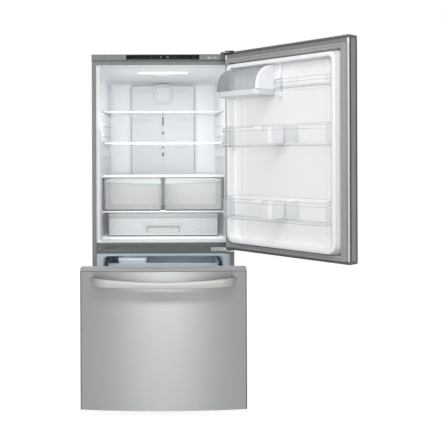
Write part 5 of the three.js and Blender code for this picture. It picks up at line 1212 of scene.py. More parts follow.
def makePantry():
    p = pantryPlan
    half, f, low, high, g = p["half"], p["front"], p["bottom"], p["top"], p["grip"]
    bm = bmesh.new()
    addTub(bm, -half + 1, half - 1, f + 11, p["back"], low, high - 0.4, 14, 2, p["wall"], 3)
    frostBack(bm, f + 22)
    finish(bm, "pantryTub", "pantry_drawer", "pantryClear clearRim crisperBody", "pantry_drawer")

    # The face's outline rings run over the front into a trapezoid hollow.
    def outline(i, y):
        return evenRing(half - i, low + i, high - i, y, max(p["corner"] - i, 1), 5)

    def pocket(i, y):
        return [(u + math.copysign(0.16, u) * (v - g[2]), y, v)
                for u, v in roundRect(g[0] + i, g[1] - i, g[2] + i, g[3] - i, 9 - i * 0.5, 5)]
    back, deep = f + p["face"], f + p["gripDepth"]
    bm = bmesh.new()
    addLoft(bm, [outline(2, back), outline(0, back - 2), outline(0, f + 2.2), outline(0.7, f + 0.7),
                 outline(2.4, f),
                 pocket(-2.2, f), pocket(-0.6, f + 0.7), pocket(0, f + 2.4), pocket(1.6, deep - 1.5),
                 pocket(3.4, deep)])
    finish(bm, "pantryFace", "pantry_drawer", "pantryFront", sharp=48)
    # Grey strips: darker rims at the sides, a painted shadow line along the foot, and grey lines over and
    # beside the grip pocket.
    bm = bmesh.new()
    for x0, x1 in bothSides(half - 0.4, half - 6.4):
        addPlate(bm, (x0, x1, low + 5, high - 5), 1.6, "y", f - 0.5, f + 3, 0.5, 3)
    addPlate(bm, (-half + 5, half - 5, low - 0.2, low + 6.4), 1.2, "y", f - 0.5, f + 4, 0.5, 3)
    addPlate(bm, (g[0] - 6, g[1] + 6, g[3] + 1.2, g[3] + 3.2), 0.8, "y", f - 0.5, f + 1, 0.3, 3)
    for x0, x1 in bothSides(g[1] + 4.4, g[1] + 6.2):
        addPlate(bm, (x0, x1, g[2] + 2, g[3] + 3), 0.8, "y", f - 0.5, f + 1, 0.3, 3)
    finish(bm, "pantryEdges", "pantry_drawer", "seamGrey", sharp=50)
    for name, look, g, z0, z1, corner in (("pantryTopBand", "pantryBand", 4, high - 26, high - 3, 4),
                                          ("pantryFootBand", "clearBright", 6, low + 2.4, low + 12, 3)):
        bm = bmesh.new()
        addPlate(bm, (-half + g, half - g, z0, z1), corner, "y", f - 0.35, f + 0.3, 0.3, 4)
        finish(bm, name, "pantry_drawer", look, sharp=50)


makePantry()
print("shelves and fresh food drawers made")

# Air duct cover with its slot track. A vent is a framed slot with a dark throat behind fine bars.
ductPlan = {"half": 194, "front": 552, "back": 579.5, "bottom": 1072, "top": 1621, "corner": 6,
    "track": (-13, 13, 1128, 1427),
    "slots": ((1374, 1430, 3.6), (1321, 1338, 4.6), (1237, 1247, 4.6), (1188, 1211, 4.6))}
vents = [(side * 107, 1582, 45, 5.6) for side in (-1, 1)]
vents += [(side * 119, z, 11, 4.6) for side in (-1, 1) for z in (1408, 1244)]


def makeDuct():
    p = ductPlan
    f = p["front"]
    steps = [(-2, p["back"]), (0, p["back"] - 1), (2.5, f + 5)]
    steps += [(2.5 + 5 * math.sin(a), f + 5 * math.cos(a)) for a in quarter(5, 1)]
    bm = bmesh.new()
    addLoft(bm, [evenRing(p["half"] - g, p["bottom"] + g, p["top"] - g, y, p["corner"], 8) for g, y in steps])
    finish(bm, "ductCoverShell", "cabinet", "ductWhite", "air_duct_cover", sharp=50)
    bm = bmesh.new()
    addPlate(bm, p["track"], 4, "y", f - 4, f + 1, 1.6)
    finish(bm, "ductTrack", "cabinet", "ductWhite", sharp=50)
    frames, throats, holes = bmesh.new(), bmesh.new(), bmesh.new()
    for x, z, half, high in vents:
        addLoft(frames, [flatRing(x - half - 2 + g, x + half + 2 - g, z - high - 2 + g, z + high + 2 - g,
                                  y, 3, 4)
                         for g, y in ((0, 552.4), (0, 551.0), (0.8, 550.6), (1.8, 551.4), (2.0, 552.6))],
                         wrap=True)
        addPlate(throats, (x - half, x + half, z - high, z + high), 2, "y", 551.6, 552.3, 0.2, 3)
    # The track's slots are dark plates: painted shadow in the holes.
    for low, high, half in p["slots"]:
        addPlate(holes, (-half, half, low, high), 2, "y", 547.7, 548.3, 0.2, 3)
    finish(frames, "ductVentFrames", "cabinet", "ductWhite", sharp=50)
    finish(throats, "ductVentThroats", "cabinet", "ventShade", sharp=50)
    finish(holes, "ductTrackSlots", "cabinet", "ventDark", sharp=50)
    for k, (x, z, half, high) in enumerate(vents):
        addBars("ventBars" + str(k + 1), "cabinet", "ductWhite", 14, (x - 39, 551.3, z), (6.0, 0, 0),
                (1.4, 0.8, 10.6))


# Filter cap: a rounded square with a raised ring, a groove and a twist bar.
filterPlan = {"z": 1566, "rings": ((60, 38, 551.6), (60, 38, 546), (59, 37.4, 544), (56.6, 36, 543),
    (50, 33, 543), (49.4, 32.6, 543.3), (49, 32, 543.9), (48, 31, 543.9), (47.4, 30.6, 543.2), (46.6, 30, 542),
    (42.5, 29, 541.2), (36, 25, 541.2), (34, 24, 541.7), (20, 14, 541.9)), "grooveHalf": 48.6}


def makeFilterCap():
    z = filterPlan["z"]
    bm = bmesh.new()
    addLoft(bm, [evenRing(half, z - half, z + half, y, corner, 9) for half, corner, y in filterPlan["rings"]])
    finish(bm, "filterCapBody", "cabinet", "ductWhite", "air_filter_cap", sharp=46)
    bm = bmesh.new()
    addPlate(bm, (-26, 26, z - 6, z + 6), 5.5, "y", 540.2, 543, 1.4)
    finish(bm, "filterCapGrip", "cabinet", "ductWhite", sharp=46)
    bm = bmesh.new()
    half = filterPlan["grooveHalf"]
    addLoft(bm, [evenRing(half - g, z - half + g, z + half - g, y, 32, 9)
                 for g, y in ((0, 544.6), (0, 543.9), (1.8, 543.9), (1.8, 544.6))], wrap=True)
    finish(bm, "filterCapGroove", "cabinet", "ventShade", sharp=46)


makeDuct()
makeFilterCap()
bm = bmesh.new()
addLoft(bm, [[(x, y, freshTop(y) - drop) for x, y in
              roundRect(-140 + g, 140 - g, 182 + g, 204 - g, max(9 - g, 2), 5)]
             for g, drop in ((0, 0.4), (0, 3.0), (1.0, 5.2), (2.8, 6.6), (6, 7.2))])
finish(bm, "lampCover", "cabinet", "lampLens", "light_lens", sharp=50)
print("duct, filter and lamp made")

# Top trim: a folded plastic strip, a blank end cover, the display and the door switch.
trimPlan = {"left": -377.4, "right": 307.6, "seam": -309, "bottom": 1696.5, "top": 1729.5, "front": -12.2,
    "back": -0.4, "bend": 3.4, "displayHalf": 193.8, "displayZ": (1701.6, 1725.4),
    "plate": (236, 288, 1704.4, 1715.6)}


def addTrimBar(bm, x0, x1, edge=0.7):
    p = trimPlan
    b, back, middle = p["bend"], p["back"], (p["bottom"] + p["top"]) / 2
    rings = []
    for g, x in ((edge, x0), (0, x0 + edge), (0, x1 - edge), (edge, x1)):
        z0, z1, f = p["bottom"] + g, p["top"] - g, p["front"] + g
        section = [(back, z1), *quadPoints((f + b, z1), (f, z1), (f, z1 - b), 5), (f - 0.15, middle + 4),
                   (f, middle - 2), *quadPoints((f, z0 + b + 3), (f, z0), (f + b + 2, z0), 5), (back, z0)]
        rings.append([(x, y, z) for y, z in section])
    addLoft(bm, rings)


def makeTrim():
    p = trimPlan
    half, f, back, (low, high) = p["displayHalf"], p["front"], p["back"], p["displayZ"]
    bm = bmesh.new()
    addTrimBar(bm, p["left"], p["seam"] - 0.4)
    addTrimBar(bm, p["seam"] + 0.4, -half - 0.4, 0.3)
    addTrimBar(bm, half + 0.4, p["right"], 0.3)
    for z0, z1 in ((high + 0.3, p["top"] - 0.2), (p["bottom"] + 0.2, low - 0.3)):
        addPlate(bm, (-half - 0.4, half + 0.4, z0, z1), 0.6, "y", f, back, 1.6, 3)
    addPlate(bm, (-half - 1, half + 1, low - 2, high + 2), 1, "y", f + 3.4, back, 0.3, 2)
    finish(bm, "controlTrim", "cabinet", "trimGrey", "control_housing", sharp=40)
    bm = bmesh.new()
    addPlate(bm, p["plate"], 5.5, "y", f - 0.8, f + 1, 0.6)
    finish(bm, "switchPlate", "cabinet", "switchGrey", sharp=40)
    bm = bmesh.new()
    addRod(bm, "y", 262, 1710, 4.4, f - 3.5, f + 4, 32)
    finish(bm, "switchButtonCap", "switch_button", "capGrey", "switch_button", 0.8, 3, 38)
    bm = bmesh.new()
    addPlate(bm, (-half, half, low + 0.3, high - 0.3), 1.2, "y", f - 0.1, f + 1.3, 0.4, 4)
    finish(bm, "displayGlass", "cabinet", "displayBlack", "display_panel", sharp=38)


# Plain generic marks: dashes as (x, width), dots and two pairs of seven-bar digits.
markPlan = {"z": 1713.4, "digitHigh": 7.0, "digitWide": 3.6, "bar": 0.8, "digits": ((-13, "37"), (22, "05")),
    "dots": (-62, 65, 128, 165),
    "dashes": ((-62, 9), (-30, 3), (46, 4), (60, 7), (69, 5), (128, 8), (160, 6), (171, 4))}
digitBars = {"0": "abcdef", "3": "abcdg", "7": "abc", "5": "afgcd"}


def addDigit(bm, x, z, digit):
    w, h, t = markPlan["digitWide"], markPlan["digitHigh"] / 2, markPlan["bar"]
    bars = {"a": (0, w, h, h), "g": (0, w, 0, 0), "d": (0, w, -h, -h), "f": (0, 0, 0, h), "b": (w, w, 0, h),
            "e": (0, 0, -h, 0), "c": (w, w, -h, 0)}
    y = trimPlan["front"]
    for key in digitBars[digit]:
        x0, x1, z0, z1 = bars[key]
        addBox(bm, x + x0 - t / 2, x + x1 + t / 2, y - 0.25, y, z + z0 - t / 2, z + z1 + t / 2)


def makeMarks():
    y, z = trimPlan["front"], markPlan["z"]
    bm = bmesh.new()
    for x, digits in markPlan["digits"]:
        for k, digit in enumerate(digits):
            addDigit(bm, x + 5.4 * k, z, digit)
    finish(bm, "displayDigits", "cabinet", "displayMark", sharp=38)
    bm = bmesh.new()
    for x, wide in markPlan["dashes"]:
        addPlate(bm, (x - wide / 2, x + wide / 2, z - 0.7, z + 0.7), 0.5, "y", y - 0.2, y, 0.1, 2)
    for x in markPlan["dots"]:
        addRod(bm, "y", x, z - 5.2, 1.0, y - 0.2, y, 12)
    finish(bm, "displayDashes", "cabinet", "markGrey", sharp=38)


makeTrim()
makeMarks()

# Steel case: a deep shell open at the back; its front edge rolls in to make the flanges.
casePlan = {"half": 377.7, "bottom": 32.3, "top": 1729.7, "depth": 699.5, "sheet": 1.2, "roll": 3.0,
    "flange": 4, "mouth": 354, "mouthTop": 1673}


def makeCase():
    p = casePlan
    roll, depth, sheet = p["roll"], p["depth"], p["sheet"]

    def ring(g, y, corner):
        return evenRing(p["half"] - g, p["bottom"] + g, p["top"] - g, y, corner, 6)
    rings = [ring(roll * (1 - math.sin(a)), roll * (1 - math.cos(a)), 5) for a in quarter(4)]
    rings += [ring(0, depth, 5), ring(sheet, depth, 4), ring(sheet, p["flange"], 4)]
    rings += [evenRing(p["mouth"] + g, low, p["mouthTop"] + g, y, corner, 6) for g, low, y, corner in (
        (0.3, 33.9, p["flange"], 4), (0.3, 33.9, 1.0, 4), (1.2, 33.3, 0, 5))]
    bm = bmesh.new()
    addLoft(bm, rings, wrap=True)
    finish(bm, "steelCaseShell", "cabinet", "casePaint", "outer_case", sharp=46)


# Mullion: a pressed face with an oblong recess.
def makeMullion():
    rings = [evenRing(353.5 - g, 671.3 + g, 730.7 - g, y, 3, 4)
             for g, y in ((0, 29), (0, 2.2), (0.6, 0.7), (2.2, 0.1))]
    rings += [flatRing(g - 307, -255 - g, 692 + g, 708 - g, y, 7.6 - g * 0.5, 4)
              for g, y in ((-1.0, 0.1), (-0.2, 0.5), (0.3, 1.6), (1.0, 2.6), (2.4, 3.0))]
    bm = bmesh.new()
    addLoft(bm, rings)
    finish(bm, "mullionFace", "cabinet", "mullionGrey", "mullion_cover", sharp=50)
    bm = bmesh.new()
    for low, high in ((724.8, 730.6), (671.4, 675.2)):
        addPlate(bm, (-353, 353, low, high), 1.2, "y", -0.3, 1.0, 0.3, 3)
    finish(bm, "mullionLips", "cabinet", "bandGrey", sharp=50)


makeCase()
makeMullion()


# The hinge cover, a low cap over the hinge arm with a boss above the pin, and two marks on the front.
def makeHingeParts():
    x0, x1 = 309.3, 377.4
    section = [(-0.5, 1696.6), (-10, 1696.6), (-12, 1698.6), (-12.2, 1716), (-11.6, 1722),
               *quadPoints((-12.0, 1733), (-12.2, 1740.8), (-6, 1740.8), 5), (60, 1740.8), (66.5, 1738.6),
               (67.6, 1734), (67.6, 1731), (-0.5, 1731)]
    bm = bmesh.new()
    addLoft(bm, [[(x, y + (0 if y > 20 else g * 0.4), z - (g if z > 1725 else 0)) for y, z in section]
                 for g, x in ((1.2, x0), (0.3, x0 + 0.5), (0, x0 + 1.4), (0, x1 - 1.4), (0.3, x1 - 0.5),
                              (1.2, x1))])
    addPlate(bm, (x0 + 8, x1 - 8, 2, 54), 5, "z", 1740, 1740.9, 0.4)
    finish(bm, "hingeCoverShell", "cabinet", "hingeCoverGrey", "top_hinge_cover", sharp=40)
    bm = bmesh.new()
    addPlate(bm, (326, 377, -64, -13), 9, "z", 1733.6, 1739.6, 1.6, 5)
    addRod(bm, "z", 361, -48, 8, 1739.2, 1741.4, 28)
    finish(bm, "hingeArmCap", "cabinet", "blackPlastic", sharp=40)
    # The gap plate beside the clip is painted shadow in the gap.
    for name, look, rect, y, edge in (("hingeCoverClip", "trimGrey", (343, 364, 1707, 1724), -13.2, 0.5),
                                      ("hingeCoverGap", "ventDark", (366.5, 374, 1704, 1726), -12.6, 0.3)):
        bm = bmesh.new()
        addPlate(bm, rect, 2, "y", y, -11.8, edge, 4)
        finish(bm, name, "cabinet", look, sharp=40)


makeHingeParts()
addScrews("midHingeScrews", "cabinet", [(x, -5.6, 694.2) for x in (266, 288, 310)], 6.2, (90, 0, 0))
addScrews("mullionScrew", "cabinet", [(-340, -0.8, 701)], 3.0, (90, 0, 0))


# A cap follows the bowed front of the door or drawer.
def makeCap(name, body, look, z0, z1, edge, stands=None, swell=1.0):
    bm = bmesh.new()
    addLoft(bm, [[(swell * x, swell * min(y, front["inner"] - 0.1 - g), z) for x, y in frontPath(g + 0.2)]
                 for g, z in roundedSteps(z0, z1, edge)])
    finish(bm, name, body, look, stands)


def makeDoorCaps():
    top, low, drawer = levels["doorTop"], levels["doorBottom"], levels["drawerTop"]
    drop, back = 14, front["inner"]
    makeCap("doorTopCapPlate", "door", "capGrey", top - drop, top - 0.3, 1.6, "door_top_cap")
    # Two rails along the door's top edge and the stepped block above the hinge pin.
    bm = bmesh.new()
    for rect, radius, rise, edge in (((-356, 296, -32, -24), 2.4, 0.4, 0.4),
                                     ((-356, 296, -70, -40), 4, 0.4, 0.4),
                                     ((-362, -326, -66, -34), 3, 3.0, 1.0)):
        addPlate(bm, rect, radius, "z", top - 1, top + rise, edge, 4)
    finish(bm, "doorTopRails", "door", "capGrey")
    bm = bmesh.new()
    addPlate(bm, (322, 377, top - 13.4, top - 0.6), 1.2, "y", back - 0.6, back + 0.7, 0.3, 3)
    finish(bm, "doorHingeWell", "door", "blackPlastic")
    # A dark line just under the top cap: painted shadow.
    bm = bmesh.new()
    addPlate(bm, (-360, 358, top - 12.6, top - 8.0), 1.2, "y", back - 0.4, back + 0.5, 0.3, 3)
    finish(bm, "doorTopLine", "door", "ventDark")
    makeCap("doorBottomCapPlate", "door", "capGrey", low + 0.2, low + drop, 1.6, "door_bottom_cap")
    makeCap("drawerCapPlate", "freezer_drawer", "drawerCapGrey", drawer - drop, drawer - 0.2, 2.2,
            "drawer_top_cap")
    # A dark strip just under the drawer cap: painted shadow in the gap between cap and skin.
    makeCap("drawerCapShadow", "freezer_drawer", "ventDark", drawer - drop - 1.4, drawer - drop + 2.2, 0.8,
            swell=1.0002)
    bm = bmesh.new()
    for off in (-30, -58):
        addPlate(bm, (-352, 352, off - 9, off + 9), 5, "z", drawer - 1, drawer + 0.3, 0.4, 4)
    finish(bm, "drawerCapRails", "freezer_drawer", "drawerCapLight")


makeDoorCaps()
print("trim, case, hinges and caps made")

# Freezer room: its floor steps up towards the back over the machine space.
freezerPlan = {"half": 318, "floor": 66, "ceiling": 657, "stepTop": 350, "lip": 353.7, "lipBottom": 36,
    "lipTop": 670.7, "wall": 2.4, "roll": 5, "rise": ((410, 0), (416, 2), (418.6, 10), (419.6, 26), (420, 279),
    (420.5, 282.6), (422.4, 284.2), (430, 284.4))}


def makeFreezerRoom():
    p = freezerPlan
    floor, step, wall, roll = p["floor"], p["stepTop"], p["wall"], p["roll"]

    def ring(g, low, y, corner):
        return evenRing(p["half"] + g, low - g, p["ceiling"] + g, y, corner)

    def lip(g, y):
        return evenRing(p["lip"] - g, p["lipBottom"] + g, p["lipTop"] - g, y, 4)
    rings = [ring(wall, step, 562, 10), ring(wall, step, 424, 14), ring(wall, step - 1, 422.6, 14),
             ring(wall, floor, 422.2, 20), ring(wall, floor, 12, 24), lip(0, 3), lip(0, 0.9), lip(0.8, 0.1),
             ring(roll, floor, 0.1, 29)]
    rings += [ring(roll * (1 - math.sin(a)), floor, 0.1 + roll * (1 - math.cos(a)), 26) for a in quarter(5, 1)]
    rings.append(ring(0, floor, 90, 22))
    rings += [evenRing(p["half"], floor + z, p["ceiling"], y, 16) for y, z in p["rise"]]
    rings += [ring(0, step, 548, 14), ring(-8, step, 558, 12), ring(-24, step, 560, 8)]
    bm = bmesh.new()
    addLoft(bm, rings)
    # The room tub takes the darkened freezer white: painted shade, as the room stands in shade.
    finish(bm, "freezerRoomTub", "cabinet", "freezerShade", "freezer_liner")
    bm = bmesh.new()
    for x0, x1 in bothSides(298, 319):
        addPlate(bm, (x0, x1, 520, 535.6), 3, "y", 40, 485, 2, 4)
    finish(bm, "trayRunners", "cabinet", "freezerWhite")


makeFreezerRoom()
# What slides in it: spans in x, y and z, then corner, draft, wall and rim.
tubs = {"slidingTray": ((-304, 304, 60, 470, 536.3, 612, 14, 3, 2.6, 5), "freezer_tray", "trayGrey trayGrey",
        "freezer_tray"),
    "iceBox": ((-245, -92, 80, 300, 539.4, 635.6, 12, 4, 2.4, 8), "freezer_tray", "trayGrey lipWhite", None),
    "deepBasket": ((-290, 290, 12.4, 389.6, 90.3, 481, 26, 9, 3, 10), "freezer_drawer",
        "freezerWhite freezerWhite", "freezer_basket")}
for name, (spans, body, looks, stands) in tubs.items():
    bm = bmesh.new()
    addTub(bm, *spans)
    finish(bm, name, body, looks, stands)
for side, word in ((-1, "Left"), (1, "Right")):
    for z in (190, 300, 410):
        addBars("basketRib" + word + str(z), "freezer_drawer", "freezerWhite", 9, (side * 286.2, 46, z),
                (0, 38, 0), (2.6, 12, 62), bevel=1.0)
for word, y in (("Front", 14.2), ("Back", 387.8)):
    addBars("basket" + word + "Ribs", "freezer_drawer", "freezerWhite", 11, (-250, y, 300), (50, 0, 0),
            (16, 2.6, 240), bevel=1.2)
addScrews("drawerFrameScrews", "freezer_drawer", [(x, 9.6, z) for x in (-301, 301) for z in (437, 493)], 3.4,
          (-90, 0, 0))
print("freezer room, tray and basket made")

# Back: a pressed sheet with stiffening panels, a louvred cover below it and their screws.
backPlan = {"half": 376.7, "bottom": 290.3, "top": 1728.7, "sheet": 699.85, "raise": 2.6, "panelHalf": 300,
    "rows": ((340, 640), (680, 980), (1020, 1320), (1360, 1680)), "soft": 7, "screwRadius": 4.2,
    "louvres": (88, 97, 106, 158, 167, 176)}


def pressed(x, z):
    p = backPlan
    lift = 0.0
    for low, high in p["rows"]:
        gap = roundGap(x, z, -p["panelHalf"], p["panelHalf"], low, high, 34)
        lift += smoothStep(-gap / p["soft"]) - 0.55 * smoothStep(-(gap + 46) / p["soft"])
    for middle in (-340, 340):
        lift += 0.8 * smoothStep(-roundGap(x, z, middle - 9, middle + 9, 330, 1690, 9) / 5)
    return p["raise"] * lift


def makeBack():
    p = backPlan
    half = p["half"]
    bm = bmesh.new()
    addRelief(bm, -half, half, p["bottom"], p["top"], 150, 280, p["sheet"], 1, pressed, 0.6)
    finish(bm, "pressedBackSheet", "cabinet", "galvanisedSheet", "back_panel", sharp=60)
    bm = bmesh.new()
    rects = [(3 - half, half - 3, 280, 288.6), (3 - half, half - 3, 35.4, 42)]
    for rect in rects + [(x0, x1, 42.4, 279.6) for x0, x1 in bothSides(half - 2, half - 9)]:
        addPlate(bm, rect, 2, "y", 699.4, 700.8, 0.4, 3)
    finish(bm, "machineCoverHem", "cabinet", "galvanisedSheet", sharp=46)
    for z in p["louvres"]:
        addBars("coverLouvre" + str(z), "cabinet", "galvanisedSheet", 11, (-303, 700.2, z), (52, 0, 0),
                (35.5, 0.8, 8.6), (32, 0, 0), 0.2)
    spots = [(x, 701.2, z) for z in (1712, 306) for x in (-340, -170, 0, 170, 340)]
    spots += [(x, 701.2, z) for x in (-366, 366) for z in (520, 830, 1170, 1500)]
    addScrews("backSheetScrews", "cabinet", spots, p["screwRadius"], (-90, 0, 0), "galvanised_sheet")
    spots = [(x, 701.4, z) for z in (284.2, 38.8) for x in (-330, -110, 110, 330)]
    addScrews("machineCoverScrews", "cabinet", spots, p["screwRadius"], (-90, 0, 0), "galvanised_sheet")


makeBack()


# Power inlet: a flanged socket with three blades and two screws.
def makeInlet():
    x, z = 300, 236
    bm = bmesh.new()
    addLoft(bm, [flatRing(x - a, x + a, z - b, z + b, y, r, 5) for a, b, r, y in (
        (13.2, 9.2, 2, 674), (13.2, 9.2, 2, 700.2), (19, 13, 4, 700.3), (20, 14, 4, 701), (20, 14, 4, 702),
        (19.2, 13.2, 4, 702.8), (12.4, 8.4, 3, 703), (11.2, 7.2, 2.6, 702.4), (11, 7, 2.4, 700),
        (11, 7, 2.4, 684.4))])
    finish(bm, "inletSocket", "cabinet", "blackPlastic", "power_inlet")
    bm = bmesh.new()
    for u, v in ((x - 6, z - 2), (x + 6, z - 2), (x, z + 3)):
        addPlate(bm, (u - 1, u + 1, v - 2, v + 2), 0.5, "y", 684, 697, 0.5, 3)
    finish(bm, "inletBlades", "cabinet", "hingeSteel")
    addScrews("inletScrews", "cabinet", [(x - 17, 703.2, z), (x + 17, 703.2, z)], 1.8, (-90, 0, 0),
              "black_plastic")


makeInlet()

# Levelling legs: ribbed foot, hexagon for a spanner and a threaded stem.
legPlan = {"x": 330, "y": 40, "foot": 17.6, "stem": 6.4, "thread": 0.7, "pitch": 1.3, "top": 29.6}


def makeLeg(name, node, side):
    p = legPlan
    foot, stem, turn = p["foot"], p["stem"], 12.4
    profile = [(foot - 2.4, 0.1), (foot - 0.6, 0.8), (foot, 2.2), (foot, 5.0), (foot - 1.2, 6.4),
               (foot - 5, 7.0), (9.2, 7.6), (stem, 8.0)]
    while turn < p["top"] - 1.4:
        profile += [(stem, turn), (stem - p["thread"], turn + p["pitch"] / 2)]
        turn += p["pitch"]
    profile += [(stem - 0.8, p["top"])]
    bm = bmesh.new()
    addTurned(bm, "z", side * p["x"], p["y"], profile)
    finish(bm, name, node, "blackPlastic", node, sharp=34)
    bm = bmesh.new()
    addTurned(bm, "z", side * p["x"], p["y"], [(9.4, 7.4), (10.2, 8.0), (10.2, 11.8), (9.4, 12.4)], 6)
    finish(bm, name + "Nut", node, "hingeSteel", sharp=34)


makeLeg("levellingFootLeft", "levelling_leg_left", -1)
makeLeg("levellingFootRight", "levelling_leg_right", 1)

# Rear rollers: crowned tyres with a hub groove on one axle; the tyre is drawn as (radius, across).
rollerPlan = {"x": 320, "y": 640, "radius": 15, "axle": 4.4, "reach": 343.6,
    "tyre": ((5, -9), (11, -9), (11.6, -7.6), (13.4, -7.6), (14.4, -8.6), (15, -7), (15, 7), (14.4, 8.6),
        (13.4, 7.6), (11.6, 7.6), (11, 9), (5, 9))}


def makeRollers():
    p = rollerPlan
    axle, reach = p["axle"], p["reach"]
    bm = bmesh.new()
    for middle in (-p["x"], p["x"]):
        addTurned(bm, "x", p["y"], p["radius"], [(r, middle + w) for r, w in p["tyre"]])
    finish(bm, "rollerWheels", "rear_rollers", "blackPlastic", "rear_rollers", sharp=34)
    bm = bmesh.new()
    addTurned(bm, "x", p["y"], p["radius"], [(axle - 1, -reach), (axle, 1 - reach), (axle, reach - 1),
                                             (axle - 1, reach)], 20)
    finish(bm, "rollerAxle", "rear_rollers", "slideZinc", sharp=34)


makeRollers()
# Toe grille: upright slats behind each slot.
toePlan = {"slots": 14, "start": -330, "width": 660}
for k in range(toePlan["slots"]):
    middle = toePlan["start"] + toePlan["width"] / toePlan["slots"] * (k + 0.5)
    addBars("toeSlats" + str(k + 1), "cabinet", "capGrey", 5, (middle - 13.2, 15.8, 18.5), (6.6, 0, 0),
            (1.6, 2.0, 11.4), bevel=0.4)

# Compressor: a two-part steel shell with a welded seam, a terminal box, grommets and copper pipes.
# The shell is drawn as (radius, height) above the floor it stands on.
compressorPlan = {"x": -190, "y": 590, "floor": 34.3,
    "shell": ((30, 18.4), (56, 19), (70, 24), (78, 36), (80, 52), (80, 96), (80, 97), (79.6, 98.4), (77.4, 99),
        (77, 112), (74, 130), (67, 147), (54, 160), (34, 169), (8, 171.6)),
    "grommet": ((8, 0.1), (11, 1.4), (11, 6), (8.6, 8), (10.4, 10.4), (10.4, 14.2), (6, 22), (4, 23))}


def makeCompressor():
    p = compressorPlan
    x, y, f = p["x"], p["y"], p["floor"]
    bm = bmesh.new()
    addTurned(bm, "z", x, y, [(r, f + h) for r, h in p["shell"]], 64)
    addPlate(bm, (x - 99, x + 99, y - 59, y + 59), 12, "z", f + 14.4, f + 18.8, 1.4)
    addPlate(bm, (x - 22, x + 22, f + 60, f + 104), 5, "y", y + 74, y + 89, 3)
    finish(bm, "compressorShell", "cabinet", "compressorBlack", "compressor")
    bm = bmesh.new()
    for u in (x - 86, x + 86):
        for v in (y - 46, y + 46):
            addTurned(bm, "z", u, v, [(r, f + h) for r, h in p["grommet"]], 24)
    finish(bm, "compressorGrommets", "cabinet", "rubberBlack", sharp=40)
    bm = bmesh.new()
    lift, end, side = f + 205, x + 262, y + 46
    addTube(bm, [(x, y, f + 168), *quadPoints((x, y, f + 186), (x, y, lift), (x + 24, y, lift), 8),
                 *quadPoints((x + 232, y, lift), (end, y, lift), (end, y, f + 186), 8), (end, y, f + 173)],
                 4.8, 16)
    addTube(bm, [(x + 62, y + 30, f + 138),
                 *quadPoints((x + 92, y + 40, f + 150), (x + 112, side, f + 190), (x + 92, side, f + 214), 10),
                 *quadPoints((x + 60, side, f + 236), (x + 10, side, f + 236), (x - 40, side, f + 226), 10),
                 (x - 70, side, f + 214)], 3.4, 14)
    finish(bm, "copperPipes", "cabinet", "copperTube")


makeCompressor()
# Fins and tubes of the two coils: the tubes run to and fro through the given heights.
addBars("evaporatorFins", "cabinet", "coilAluminium", 62, (-237.9, 532.5, 396), (7.8, 0, 0), (0.5, 44, 78))
addBars("condenserFins", "cabinet", "coilAluminium", 34, (38, 590, 120), (5.6, 0, 0), (0.5, 112, 140),
        slot="galvanised_sheet")
coils = {
    "evaporatorTubes": ("coilAluminium", "coil_aluminium", -232, 232, (520, 544), (362, 380, 398, 416, 432)),
    "condenserTubes": ("copperTube", "galvanised_sheet", 46, 218, (552, 590, 628),
        (62, 86, 110, 134, 158, 182))}


def addSnake(bm, x0, x1, y, rows):
    path = []
    for k, z in enumerate(rows):
        a, b = (x1, x0) if k % 2 else (x0, x1)
        path += [(a, y, z), ((a + b) / 2, y, z), (b, y, z)]
        if k < len(rows) - 1:
            reach, middle = (rows[k + 1] - z) / 2, (rows[k + 1] + z) / 2
            path += [(b + math.copysign(reach, b - a) * math.sin(t), y, middle - reach * math.cos(t))
                     for t in (math.pi * i / 8 for i in range(1, 8))]
    addTube(bm, path, 3.6, 14)


for name, (look, slot, x0, x1, depths, rows) in coils.items():
    bm = bmesh.new()
    for y in depths:
        addSnake(bm, x0, x1, y, rows)
    finish(bm, name, "cabinet", look)

# Fans: twisted blades round a domed hub.
fanPlan = {"blades": 5, "sweep": 24, "hub": 15.75, "radius": 52.5, "depth": 8.7}


def makeFan(name, node, axis, u, v, w):
    radius, depth, hub = fanPlan["radius"], fanPlan["depth"], fanPlan["hub"]

    def spot(r, angle, offset):
        offset = max(0.1 - depth, min(depth - 0.1, offset))
        return onAxis(axis, u + r * math.cos(angle), v + r * math.sin(angle), w + offset)
    bm = bmesh.new()
    for blade in range(fanPlan["blades"]):
        rings = []
        for share in (k / 8 for k in range(9)):
            r = hub - 1 + (radius - hub + 1) * share
            span = math.radians(50 - 6 * share)
            lead = 2 * math.pi * blade / fanPlan["blades"] + math.radians(fanPlan["sweep"]) * share * share
            rise = depth * (0.92 - 0.3 * share)
            top, under = [], []
            for s in (j / 8 for j in range(9)):
                angle, bulge = lead + span * (s - 0.5), math.sin(math.pi * s)
                offset, thick = rise * (2 * s - 1) + 0.8 * bulge, 0.35 + 0.6 * bulge
                top.append(spot(r, angle, offset + thick))
                under.append(spot(r, angle, offset - thick))
            rings.append(top + under[::-1])
        addLoft(bm, rings)
    addTurned(bm, axis, u, v, [(r, w + h) for r, h in (
        (hub - 2.4, -depth), (hub, 1.6 - depth), (hub, depth - 4), (hub - 1.4, depth - 1.6),
        (hub - 5, depth - 0.4), (3, depth))], 40)
    finish(bm, name, node, "blackPlastic", node)


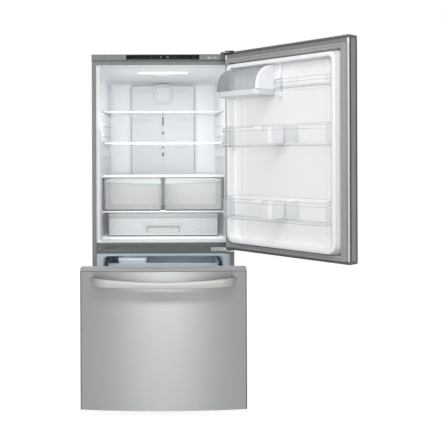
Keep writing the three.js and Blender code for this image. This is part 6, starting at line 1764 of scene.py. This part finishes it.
makeFan("evaporatorBlades", "evaporator_fan", "y", 0, 570, 517)
makeFan("condenserBlades", "condenser_fan", "x", 590, 120, -17)

# Freezer back wall: framed outlets with louvres, and round the fan a moulded ring with a guard.
wallPlan = {"fanZ": 570, "outletZ": 368, "first": -200, "step": 80, "outlets": 6, "guards": (14, 27, 40)}


def makeFreezerWall():
    p = wallPlan
    bm = bmesh.new()
    for x in (p["first"] + p["step"] * k for k in range(p["outlets"])):
        addLoft(bm, [flatRing(x - 32 + g, x + 32 - g, p["outletZ"] - 10 + g, p["outletZ"] + 10 - g, y, 5, 4)
                     for g, y in ((0, 500.6), (0, 498.4), (1, 497.8), (3, 497.8), (4, 498.6), (4, 500.6))],
                     wrap=True)
    ring = [(57, 500.6), (57, 498.2), (56, 497.4), (52, 497.4), (51, 498.2), (51, 500.6)]
    guards = [[(r - 1, 497.8), (r + 1, 497.8), (r + 1, 499.8), (r - 1, 499.8)] for r in p["guards"]]
    for profile in [ring] + guards:
        addTurned(bm, "y", 0, p["fanZ"], profile, 56, wrap=True)
    finish(bm, "freezerWallFrames", "cabinet", "freezerWhite", sharp=46)
    addBars("freezerWallLouvres", "cabinet", "freezerWhite", p["outlets"], (p["first"], 499.4, p["outletZ"]),
            (p["step"], 0, 0), (58, 0.9, 3.4), (35, 0, 0), 0.3)
    for spoke in (0, 60, 120):
        addBars("fanGuardBar" + str(spoke), "cabinet", "freezerWhite", 1, (0, 499.2, p["fanZ"]), (1, 0, 0),
                (106, 1.8, 2.2), (0, spoke, 0), 0.5)


makeFreezerWall()
# Slides: nylon end stops and rivets.
bm = bmesh.new()
for x0, x1 in bothSides(305.2, 315.4):
    for z in (441.2, 484.6):
        addPlate(bm, (x0, x1, z, z + 4.2), 1, "y", 12.6, 22, 0.8, 3)
finish(bm, "railStops", "cabinet", "guideWhite")
for side, word in ((-1, "Left"), (1, "Right")):
    addScrews("railRivets" + word, "cabinet", [(side * 315.2, y, 465) for y in (60, 190, 320, 400)], 4,
              (0, -90 * side, 0), "slide_steel")
print("back, base, coils, fans and slides made")
